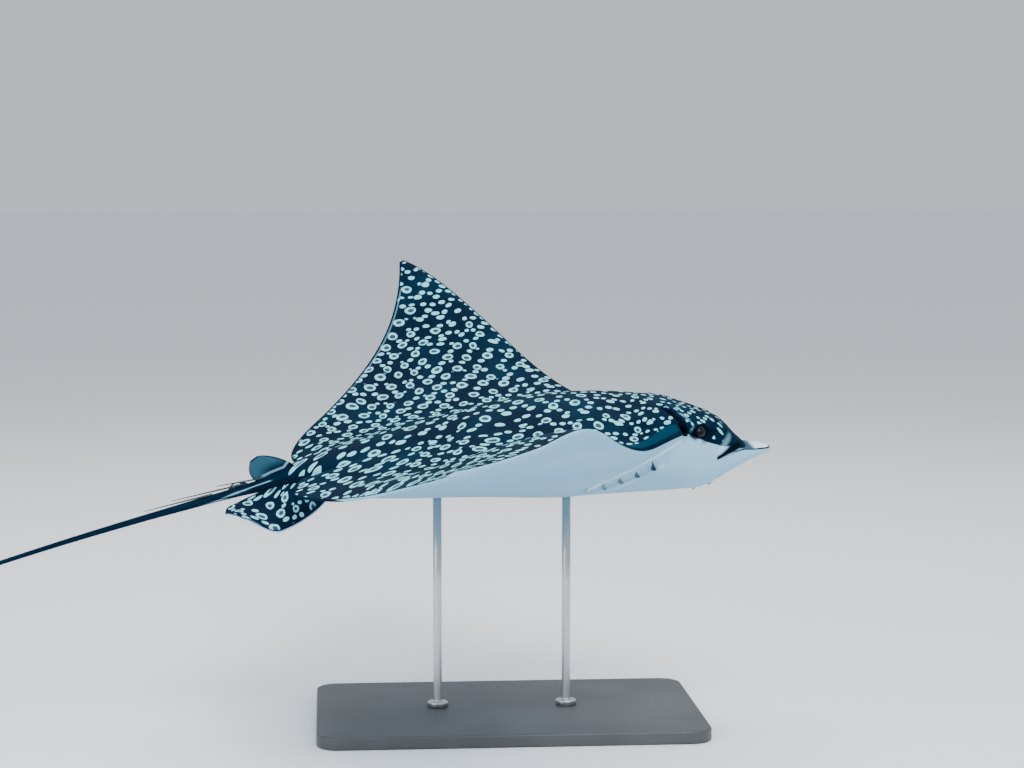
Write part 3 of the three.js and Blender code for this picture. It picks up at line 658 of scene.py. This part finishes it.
# ---------------------------------------------------------------- skin: one hide
# On the animal the bill and fins are covered by the same hide as the body. Here their closed surfaces are
# joined to the body's, so that a single one is left, and it takes the place of every node of flesh.
for part in [lobe, *pelvics, dorsal]:
    grow = body.modifiers.new("grow", "BOOLEAN")
    grow.operation, grow.solver, grow.object = "UNION", "EXACT", part
bpy.context.view_layer.update()
whole = bpy.data.meshes.new_from_object(body.evaluated_get(bpy.context.evaluated_depsgraph_get()))
skin = bpy.data.objects.new("skin", whole)
bpy.context.scene.collection.objects.link(skin)
for part in [body, lobe, *pelvics, dorsal]:
    bpy.data.objects.remove(part)


# ---------------------------------------------------------------- skin: colour
# Scaleless hide, matt as museum paint leaves it: near-black teal above with pale rings, dots and ovals, and a
# clean pale underside. The tones follow the flat places and depths that every point carries; painted shade and
# painted highlights are laid over them where the relief's pits, grooves, rims and folds are.
class Reckon:
    """A socket in a sum: +, -, * and / with numbers or other sockets add Math nodes."""

    def __init__(self, paint, socket):
        self.paint, self.socket = paint, socket

    def math(self, operation, *others):
        return self.paint.node("ShaderNodeMath", {"operation": operation}, dict(enumerate((self, *others))))[0]

    def __add__(self, other):
        return self.math("ADD", other)

    def __sub__(self, other):
        return self.math("SUBTRACT", other)

    def __mul__(self, other):
        return self.math("MULTIPLY", other)

    def __truediv__(self, other):
        return self.math("DIVIDE", other)

    def __rsub__(self, other):
        return (self * -1.0) + other

    __radd__, __rmul__ = __add__, __mul__

    def held(self):
        """Held between 0 and 1."""
        return self.paint.node("ShaderNodeClamp", {}, {"Value": self})[0]

    def over(self, low, high):
        """0 below low to 1 above high, eased; low may be the greater."""
        t = ((self - low) / (high - low)).held()
        return t * t * (3.0 - 2.0 * t)


class Paint:
    """A material in the making; node() adds any node and returns its outputs as Reckon values."""

    def __init__(self, name):
        self.material = bpy.data.materials.new(name)
        self.material.use_nodes = True
        self.tree = self.material.node_tree
        self.shader = self.tree.nodes["Principled BSDF"]

    def feed(self, socket, value):
        if isinstance(value, Reckon):
            self.tree.links.new(value.socket, socket)
        elif isinstance(value, (tuple, list)) and len(value) == 3 and socket.type == "RGBA":
            socket.default_value = (*value, 1.0)
        else:
            socket.default_value = value

    def node(self, kind, settings, inputs):
        made = self.tree.nodes.new(kind)
        for name, value in settings.items():
            setattr(made, name, value)
        for name, value in inputs.items():
            self.feed(made.inputs[name], value)
        return [Reckon(self, out) for out in made.outputs]

    def mix(self, first, second, share):
        """Colour between two colours."""
        return self.node("ShaderNodeMix", {"data_type": "RGBA"}, {0: share, 6: first, 7: second})[2]

    def parts(self, vector):
        """The three numbers of a vector or colour."""
        return self.node("ShaderNodeSeparateXYZ", {}, {0: vector})

    def joined(self, x, y):
        return self.node("ShaderNodeCombineXYZ", {}, {0: x, 1: y})[0]

    def uv(self, name):
        return self.node("ShaderNodeUVMap", {"uv_map": name}, {})[0]

    def noise(self, vector, scale, detail=2.0):
        return self.node("ShaderNodeTexNoise", {}, {"Vector": vector, "Scale": scale, "Detail": detail})[0]

    def streaks(self, vector, scales, detail):
        """Noise with a scale of its own each way."""
        scaled = self.node("ShaderNodeMapping", {}, {"Vector": vector, "Scale": scales})[0]
        return self.noise(scaled, 1.0, detail)

    def raised(self, height, strength, distance):
        inputs = {"Strength": strength, "Distance": distance, "Height": height}
        return self.node("ShaderNodeBump", {}, inputs)[0]

    def wear(self, **sockets):
        """Sets the shader's own sockets, from numbers, colours or links."""
        for name, value in sockets.items():
            self.feed(self.shader.inputs[name.replace("_", " ")], value)
        return self.material


# The deepest blue-black is the colour of painted shade in pits, grooves and gill slits.
DARK, TEAL, SHADE_DARK = (0.0008, 0.0095, 0.0260), (0.002, 0.045, 0.080), (0.0006, 0.005, 0.013)
# The grey is a painted highlight on dark skin and along the dorsal fin's curl, and also the colour of a line
# inside the wings' margin and of a patch on the head.
FIN, GREY, BILL = (0.030, 0.095, 0.150), (0.20, 0.42, 0.55), (0.035, 0.10, 0.15)
# The near-white is the colour of painted highlights, on pale skin and on the bill's tip.
SPOT, HIGHLIGHT = (0.28, 0.70, 0.80), (0.78, 0.92, 0.98)
# The last pale is painted shade on the underside of the right wing.
PALE, PALE_CLOUD, UNDERWING_SHADE = (0.33, 0.60, 0.82), (0.22, 0.47, 0.68), (0.20, 0.46, 0.68)
# In the paint flat places are in metres; depths and places across the gills are in mm.
LAST_SPOT = 0.790
DORSAL_CURL = [(0.822, 0.0124), (0.8086, 0.0146), (0.796, 0.0153), (0.785, 0.0158), (0.7767, 0.022)]
ROOT_HALF = 0.7071
DOT_SHIFT = (11.66, 7.41, 0.0)  # puts the second lattice's points between the first's
SLIT_HALF, SLIT_TAPER, SLIT_BOW = 3.9, 0.028, 0.030


def hide_paint():
    """Marks are the cells of two lattices on the pattern plane. The first is a loose chessboard of rings, or
    of long ovals where the cell's random number is over the ring share. The second is a square one of dots
    that lie between them; each is shrunk to keep clear of the mark beside it, and left out where too little
    of it would stay. Each mark is an ellipse about its cell's own point: root of x squared plus the square of
    y times the flatness, against a radius. Marks are flatter on the trunk and smaller on the head."""
    p = Paint("hide")
    flat, pattern, gills, depth, kind = (p.uv(name) for name in ("flat", "pattern", "gills", "depth", "kind"))
    shore, ring, _ = p.parts(depth)
    tone, shade, _ = p.parts(kind)
    along, sideways, _ = p.parts(flat)
    # Tones are told apart half way between their numbers; what holds for the pelvic fins holds past them too.
    on_body, on_bill = tone.over(0.6, 0.4), tone.over(0.4, 0.6) * tone.over(1.6, 1.4)
    on_pelvic, on_dorsal = tone.over(1.4, 1.6), tone.over(2.4, 2.6)
    trunk = sideways.math("ABSOLUTE").over(0.24, 0.16) * along.over(0.16, 0.21) * on_body
    smaller = 1.0 - 0.16 * along.over(0.20, 0.15)

    def vector(operation, *inputs):
        return p.node("ShaderNodeVectorMath", {"operation": operation}, dict(enumerate(inputs)))[0]

    def eighth(place_at, way):
        """Turned by an eighth of a circle, one way or the other."""
        x, y, _ = p.parts(place_at)
        return p.joined((x + y * way) * ROOT_HALF, (y - x * way) * ROOT_HALF)

    def cells(place_at, scale, randomness):
        found = p.node("ShaderNodeTexVoronoi", {"voronoi_dimensions": "2D"},
                       {"Vector": place_at, "Scale": scale, "Randomness": randomness})
        return p.parts(found[1]), found[2]

    def ellipse(place_at, centre, flatness):
        x, y, _ = p.parts(vector("SUBTRACT", place_at, centre))
        y = y * flatness
        return (x * x + y * y).math("SQRT")

    def discs(place_at):
        chances, centre = cells(eighth(place_at, 1.0), ROOT_HALF, 0.30)
        chance, size, _ = chances
        is_ring = (ring - chance).over(-0.02, 0.02)
        radius = (0.32 + 0.10 * size + 0.04 * ring + is_ring * 0.06 + trunk * 0.02) * smaller
        centre = eighth(centre, -1.0)
        flatness = 2.2 - 0.6 * is_ring + trunk * (0.8 - 0.5 * is_ring)
        return ellipse(place_at, centre, flatness), radius, is_ring, chances, centre, flatness

    def moved(place_at, scale, reach):
        """Place shifted by noise, so that rows wander and outlines aren't true ellipses."""
        shift = p.node("ShaderNodeTexNoise", {"noise_dimensions": "2D"},
                       {"Vector": pattern, "Scale": scale, "Detail": 1.0})[1]
        return vector("MULTIPLY_ADD", shift, reach, place_at)

    spot_at = moved(moved(pattern, 1.1, (0.22, 0.12, 0.0)), 0.17, (1.2, 1.0, 0.0))
    near, radius, is_ring, (_, size, depth_of), centre, flatness = discs(spot_at)
    disc = near.over(radius + 0.03, radius - 0.02)
    hole_at = vector("ADD", spot_at, p.joined(size * 0.12 - 0.06, depth_of * 0.08 - 0.04))
    inner = radius * (0.50 + 0.12 * depth_of)
    hole = ellipse(hole_at, centre, flatness * 1.1).over(inner + 0.03, inner - 0.04) * is_ring
    (_, dot_size, _), dot_at = cells(vector("ADD", spot_at, DOT_SHIFT), 1.0, 0.32)
    dot_at = vector("SUBTRACT", dot_at, DOT_SHIFT)
    from_disc, disc_radius, *_ = discs(dot_at)
    dot_radius = ((0.26 + 0.09 * dot_size) * smaller).math("MINIMUM", (from_disc - disc_radius) * 0.9 - 0.05)
    dot = ellipse(spot_at, dot_at, 2.0 + 0.8 * trunk).over(dot_radius + 0.03, dot_radius - 0.02)
    spots = (disc * (1.0 - hole * 0.90)).math("MAXIMUM", dot * dot_radius.over(0.12, 0.17))

    # The dark back: clouded teal, a clean flap over the gills, a grey line inside the wings' margin, the marks.
    wander = p.noise(flat, 60.0) * 3.0 - 1.5
    dark = (shore + wander * 0.6).over(-1.0, 1.0)
    flap = sideways.over(-0.02, -0.06) * along.over(0.29, 0.25) * along.over(0.15, 0.17) * on_body
    on_tail = along.over(LAST_SPOT, LAST_SPOT - 0.02).math("MAXIMUM", on_pelvic)
    on_snout = along.over(0.077, 0.088).math("MAXIMUM", on_pelvic)
    spotted = (shore + wander - flap * 12.0).over(4.0, 6.0) * on_tail * on_snout * (1.0 - on_dorsal)
    spotted = spotted * (1.0 - on_bill) * shade.over(0.35, 0.15) * shade.over(-0.35, -0.15)
    cloud = p.noise(flat, 9.0, 4.0).over(0.40, 0.85) * 0.5
    back = p.mix(DARK, TEAL, cloud + flap * shore.over(3.0, 5.0) * shore.over(18.0, 13.0) * 0.7)
    margin = along.over(0.30, 0.42) * sideways.over(0.33, 0.42) * ring.over(0.30, 0.45) * on_body
    back = p.mix(back, GREY, margin * shore.over(4.4, 5.6) * shore.over(8.2, 7.0) * 0.45)
    back = p.mix(back, SPOT, spots * spotted)
    # The bill: a painted highlight over its top near the tip, and painted shade along its margin.
    bill = p.mix(HIGHLIGHT, BILL, along.over(0.024, 0.034))
    back = p.mix(back, p.mix(bill, DARK, shore.over(5.0, 3.5)), on_bill)

    def beside(line, half):
        """1 on a run of straight pieces in the flat, fading to 0 at half metres from it."""
        best = None
        for (x0, y0), (x1, y1) in zip(line[:-1], line[1:]):
            dx, dy = x1 - x0, y1 - y0
            share = (((along - x0) * dx + (sideways - y0) * dy) / (dx * dx + dy * dy)).held()
            gap_x, gap_y = along - x0 - share * dx, sideways - y0 - share * dy
            gap = (gap_x * gap_x + gap_y * gap_y).math("SQRT")
            best = gap if best is None else best.math("MINIMUM", gap)
        return best.over(half, half * 0.4)

    # The dorsal fin: dark rim and foot, and a painted highlight along its one curl.
    foot = sideways.over(0.034, 0.016) * along.over(0.835, 0.80)
    fin = p.mix(FIN, DARK, ring.over(0.35, 0.1).math("MAXIMUM", foot))
    back = p.mix(back, p.mix(fin, GREY, beside(DORSAL_CURL, 0.0026) * 0.8), on_dorsal)

    # The pale underside, with painted shade in streaks under the right wing and down the gill slits.
    under = p.mix(PALE, PALE_CLOUD, p.noise(flat, 7.0, 5.0).over(0.45, 0.8) * 0.4)
    streaks = p.streaks(flat, (3.0, 16.0, 1.0), 3.0).over(0.25, 0.65)
    # Painted shade in streaks on the right wing's underside.
    under = p.mix(under, UNDERWING_SHADE, sideways.over(-0.10, -0.20) * streaks * 0.5)
    space, across, _ = p.parts(gills)
    off_slit = (space - space.math("ROUND")) * GILL_STEP + across * across * SLIT_BOW
    half = SLIT_HALF - across * across * SLIT_TAPER
    slit = (half - off_slit.math("ABSOLUTE")).over(-0.4, 0.6)
    slit = slit * space.over(-0.4, -0.3) * space.over(GILLS - 0.6, GILLS - 0.7)
    slit = slit * along.over(BELLY_SHIFT * MM - 1.0, BELLY_SHIFT * MM - 0.1) * on_body
    # Painted shade down each gill slit, fainter towards the rear.
    under = p.mix(under, SHADE_DARK, slit * (0.9 - 0.14 * space))

    # Back and underside meet at the shore; over both lie the relief's painted shade in pits and grooves and its
    # painted highlights on ridges and rims.
    colour = p.mix(p.mix(under, back, dark), SHADE_DARK, shade.over(0.05, 0.85))
    colour = p.mix(colour, p.mix(HIGHLIGHT, GREY, dark), (shade * -1.0).over(0.0, 0.9))
    fine, ripple = p.noise(flat, 900.0, 3.0), p.noise(flat, 70.0, 3.0)
    height = fine * 0.12 + ripple * 0.5 + spots * spotted * 0.15 - slit * 1.2
    return p.wear(Base_Color=colour, Roughness=0.5 + 0.14 * p.noise(flat, 40.0),
                  Normal=p.raised(height, 0.25, 0.0012), Specular_IOR_Level=0.015)


skin.data.materials.clear()
skin.data.materials.append(hide_paint())
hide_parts("head", "rostral_lobe", "trunk", "wing_left", "wing_right", "pelvic_fin_left",
            "pelvic_fin_right", "dorsal_fin", "tail_1", "tail_2", "tail_3", "tail_4", "tail_5")
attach(skin, "root")


# ---------------------------------------------------------------- eyes
# A dark glossy glass ball such as taxidermists set, with its clear front bulged as the cornea is. It sits in
# the side of the head between the lids and stands a little proud of it.
EYE_SUNK, EYE_BULGE = 0.3, 1.2


def ringed(name, points, uv, at=place):
    """A piece of one grid of rings, closed to a point at both ends; each ring ends where it starts."""
    piece = Hide()
    piece.grid(points, uv, 1.0, 0.0)
    return make_piece(name, piece, at=at)


def eye_points(hand):
    """A ball whose front third bulges; angle from the sideways axis, then angle round it."""
    tilt, turn = np.meshgrid(np.linspace(0, np.pi, 41), np.linspace(0, 2 * np.pi, 65), indexing="ij")
    radius = EYE_RADIUS - EYE_SUNK + EYE_BULGE * (1 - smooth(tilt / 0.75))
    ring = radius * np.sin(tilt)
    y = EYE[1] + radius * np.cos(tilt)
    points = np.stack([EYE[0] + ring * np.cos(turn), hand * y, EYE[2] + ring * np.sin(turn)], -1)
    return points, np.stack([np.degrees(tilt) * 10, np.degrees(turn) * 10], -1)


def eye_paint():
    p = Paint("eye_gloss")
    away, around, _ = p.parts(p.uv("flat"))
    degrees = away * 100.0
    streak = p.noise(p.joined(away * 3.0, around * 90.0), 1.0, 3.0)
    iris = p.mix((0.003, 0.005, 0.008), (0.012, 0.020, 0.026), streak.over(0.35, 0.7))
    colour = p.mix((0.002, 0.003, 0.004), iris, degrees.over(24.0, 27.0))
    colour = p.mix(colour, (0.004, 0.012, 0.018), degrees.over(36.0, 42.0))
    return p.wear(Base_Color=colour, Roughness=0.10, Specular_IOR_Level=0.15)


eye_material = eye_paint()
for name, hand in (("left", 1), ("right", -1)):
    eye = ringed("eye_ball_" + name, *eye_points(hand))
    eye.data.materials.append(eye_material)
    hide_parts("eye_" + name)
    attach(eye, "root")


# ---------------------------------------------------------------- tail spines
# Stings of hard dentine with saw-toothed sides, one behind another on top of the tail just behind the dorsal
# fin, each rooted in the skin by its front end.
SPINES = ((822, 76, 6.0, -2.6), (858, 116, 2.6, 2.4), (908, 112, 1.8, -2.4))  # station, length, rise, offset
SPINE_WIDTH, BARBS = 6.4, 22


def spine_faces(s, long, rise, y):
    """A blade that tapers to a point: half breadth falls with share t to 1.6, with barbs that lean back;
    domed on top, flatter below, and lying at a small rise over the tail."""
    t, r = np.meshgrid(np.linspace(0, 1, 177), np.sin(np.pi / 2 * np.linspace(-1, 1, 13)), indexing="ij")
    barb = (t * BARBS % 1.0) * smooth((t - 0.12) / 0.1)
    half = 0.5 * SPINE_WIDTH * (1 - 0.84 * t ** 1.6) * (1 - 0.22 * (1 - barb) * smooth((t - 0.12) / 0.1))
    thin = (0.40 * half + 0.5) * (1 - 0.6 * r * r) * (1 - 0.35 * np.exp(-(r / 0.2) ** 2) * smooth(t * 8))
    lie = crest(s) + long * t * np.tan(np.radians(rise)) + 1.2
    along = s + long * t
    above, below = (np.stack([along, y + r * half, lie + k * thin], -1) for k in (1.0, -0.7))
    return above, below, np.stack([along, r * 4], -1)


def spine_paint():
    p = Paint("spine_bone")
    grain = p.streaks(p.uv("flat"), (40.0, 900.0, 1.0), 4.0)
    colour = p.mix((0.050, 0.070, 0.080), (0.015, 0.025, 0.035), grain.over(0.35, 0.75))
    return p.wear(Base_Color=colour, Roughness=0.55 + grain * 0.2, Normal=p.raised(grain, 0.4, 0.0004),
                  Specular_IOR_Level=0.2)


spine_material = spine_paint()
for number, size in enumerate(SPINES, 1):
    piece = Hide()
    above, below, flat = spine_faces(*size)
    closed_pair(piece, above, below, flat, np.ones(flat.shape[:2]))
    blade = make_piece("sting_%d" % number, piece)
    blade.data.materials.append(spine_material)
    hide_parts("tail_spine_%d" % number)
    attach(blade, "root")


# ---------------------------------------------------------------- stand
# A steel plate with softened edges, painted dark, and two bright steel rods that end inside the belly; each
# rod stands in a turned collar on the plate.
PLATE_LONG, PLATE_WIDE, PLATE_THICK, PLATE_CORNER, PLATE_LIP = 620.0, 400.0, 20.0, 36.0, 3.0
ROD_RADIUS, COLLAR_RADIUS, COLLAR_HEIGHT, ROD_SOCKET, ROD_Y = 7.0, 17.0, 9.0, 24.0, 7.0
COLLAR_GAP, COLLAR_CHAMFER, COLLAR_ROUND, FILLET = 0.3, 0.6, 2.2, 2.5
ROD_X = {"front": 97.0, "rear": -113.0}


def plain_place(points):
    """Millimetres to metres with no bend: the stand stands square in the model's own frame."""
    return np.asarray(points, float) * MM


def plate_points():
    """Rings of a rounded rectangle, drawn in at the top and bottom edges by a quarter round, and closed to the
    middle of each face."""
    quarter = np.repeat(np.arange(4), 17)
    turn = np.tile(np.linspace(0, np.pi / 2, 17), 4) + quarter * np.pi / 2
    quarter, turn = np.append(quarter, 0), np.append(turn, 2 * np.pi)
    sign_x, sign_y = np.array([1, -1, -1, 1])[quarter], np.array([1, 1, -1, -1])[quarter]
    bend = np.linspace(0, np.pi / 2, 9)
    inset = PLATE_LIP * (1 - np.concatenate([[0, 0], np.sin(bend), np.cos(bend), [0, 0]]))
    z = np.concatenate([[0, 0], PLATE_LIP * (1 - np.cos(bend)),
                        PLATE_THICK - PLATE_LIP * (1 - np.sin(bend)), [PLATE_THICK] * 2])
    reach = np.concatenate([[0.0, 0.5], np.ones(18), [0.5, 0.0]])[:, None]
    corner = PLATE_CORNER - inset[:, None]
    x = reach * (sign_x * (PLATE_LONG / 2 - PLATE_CORNER) + corner * np.cos(turn))
    y = reach * (sign_y * (PLATE_WIDE / 2 - PLATE_CORNER) + corner * np.sin(turn))
    return np.stack([x, y, np.broadcast_to(z[:, None], x.shape)], -1)


def rod_points(x):
    """A turned profile carried round an upright axis: collar with a rounded shoulder, a small fillet, and the
    plain rod up into the belly."""
    s = (SNOUT_AT[0] - x) / np.cos(PITCH)
    top = place(np.array([s, 0.0, keel(s)]))[2] / MM + ROD_SOCKET
    bend = np.linspace(0, np.pi / 2, 9)
    foot, brim = PLATE_THICK + COLLAR_GAP, PLATE_THICK + COLLAR_HEIGHT
    radius = np.concatenate([[0, COLLAR_RADIUS - COLLAR_CHAMFER, COLLAR_RADIUS],
                             COLLAR_RADIUS - COLLAR_ROUND * (1 - np.cos(bend)),
                             ROD_RADIUS + FILLET * (1 - np.sin(bend)), [ROD_RADIUS] * 3, [0]])
    z = np.concatenate([[foot, foot, foot + COLLAR_CHAMFER], brim - COLLAR_ROUND + COLLAR_ROUND * np.sin(bend),
                        brim + FILLET * (1 - np.cos(bend)), np.linspace(brim + 20, top, 3), [top]])
    turn = np.linspace(0, 2 * np.pi, 65)
    return np.stack([x + radius[:, None] * np.cos(turn), ROD_Y + radius[:, None] * np.sin(turn),
                     np.broadcast_to(z[:, None], (len(z), len(turn)))], -1)


def stand_paint():
    p = Paint("stand_paint")
    where = p.node("ShaderNodeTexCoord", {}, {})[3]
    speck = p.noise(where, 420.0, 2.0)
    colour = p.mix((0.050, 0.054, 0.058), (0.070, 0.074, 0.078), p.noise(where, 6.0, 3.0).over(0.35, 0.7))
    return p.wear(Base_Color=colour, Roughness=0.40 + speck * 0.18, Normal=p.raised(speck, 0.25, 0.0003))


def rod_paint():
    p = Paint("stand_steel")
    where = p.node("ShaderNodeTexCoord", {}, {})[3]
    line = p.streaks(where, (60.0, 60.0, 1400.0), 3.0)
    colour = p.mix((0.50, 0.51, 0.52), (0.62, 0.63, 0.64), line)
    return p.wear(Base_Color=colour, Metallic=1.0, Roughness=0.24 + line * 0.16,
                  Normal=p.raised(line, 0.15, 0.0002))


def stand_piece(name, points, material, node):
    piece = ringed(name, points, points[..., :2], plain_place)
    piece.data.materials.append(material)
    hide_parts(node)
    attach(piece, "root")


stand_piece("base_plate", plate_points(), stand_paint(), "stand_base")
steel = rod_paint()
for name, x in ROD_X.items():
    stand_piece("rod_" + name, rod_points(x), steel, "stand_rod_" + name)


# ---------------------------------------------------------------- floor, light and camera
# A pale matt studio floor that runs out of sight, just under the stand's plate. The light is a pale sky and
# three large soft lamps, and the camera looks at the animal's right side.
FLOOR_HALF, FLOOR_DROP = 60.0, 0.0005
floor_mesh = bpy.data.meshes.new("floor")
floor_mesh.from_pydata([(x * FLOOR_HALF, y * FLOOR_HALF, -FLOOR_DROP) for x, y in
                        ((-1, -1), (1, -1), (1, 1), (-1, 1))], [], [(0, 1, 2, 3)])
floor = bpy.data.objects.new("floor", floor_mesh)
bpy.context.scene.collection.objects.link(floor)
floor.data.materials.append(Paint("floor_pale").wear(Base_Color=(0.93, 0.95, 0.96), Roughness=0.85))

sky = bpy.data.worlds.new("sky")
sky.use_nodes = True
glow = sky.node_tree.nodes["Background"].inputs
glow["Color"].default_value, glow["Strength"].default_value = (0.86, 0.92, 1.0, 1.0), 0.75
bpy.context.scene.world = sky


def facing(at, back):
    """Matrix of a thing at a point whose own Z runs along back and whose own X is level."""
    right = np.cross([0.0, 0.0, 1.0], back)
    right /= np.linalg.norm(right)
    up = np.cross(back, right)
    rows = np.eye(4)
    rows[:3, 0], rows[:3, 1], rows[:3, 2], rows[:3, 3] = right, up, back, at
    return Matrix(rows.tolist())


def soft_light(name, at, towards, size, power):
    lamp = bpy.data.lights.new(name, "AREA")
    lamp.shape, lamp.size, lamp.energy = "DISK", size, power
    holder = bpy.data.objects.new(name, lamp)
    back = np.subtract(at, towards) / np.linalg.norm(np.subtract(at, towards))
    holder.matrix_world = facing(at, back)
    bpy.context.scene.collection.objects.link(holder)


soft_light("key", (0.6, -2.6, 3.6), (0.0, 0.0, 0.5), 2.6, 150.0)
soft_light("fill", (-2.6, -2.2, 1.6), (-0.2, 0.0, 0.5), 2.4, 45.0)
soft_light("top", (0.0, 1.6, 3.8), (0.0, 0.2, 0.5), 3.0, 90.0)

AZIMUTH, ELEVATION, DISTANCE, FOCAL_PIXELS, FRAME_WIDE = -4.5, 5.0, 3.8, 2355.0, 1024.0
SENSOR, AIM = 36.0, np.array([0.008, 0.0, 0.548])
a, e = np.radians(AZIMUTH), np.radians(ELEVATION)
back = np.array([np.sin(a) * np.cos(e), -np.cos(a) * np.cos(e), np.sin(e)])
lens = bpy.data.cameras.new("camera")
lens.sensor_width, lens.lens = SENSOR, SENSOR * FOCAL_PIXELS / FRAME_WIDE
camera = bpy.data.objects.new("camera", lens)
camera.matrix_world = facing(AIM + DISTANCE * back, back)
bpy.context.scene.collection.objects.link(camera)
bpy.context.scene.camera = camera
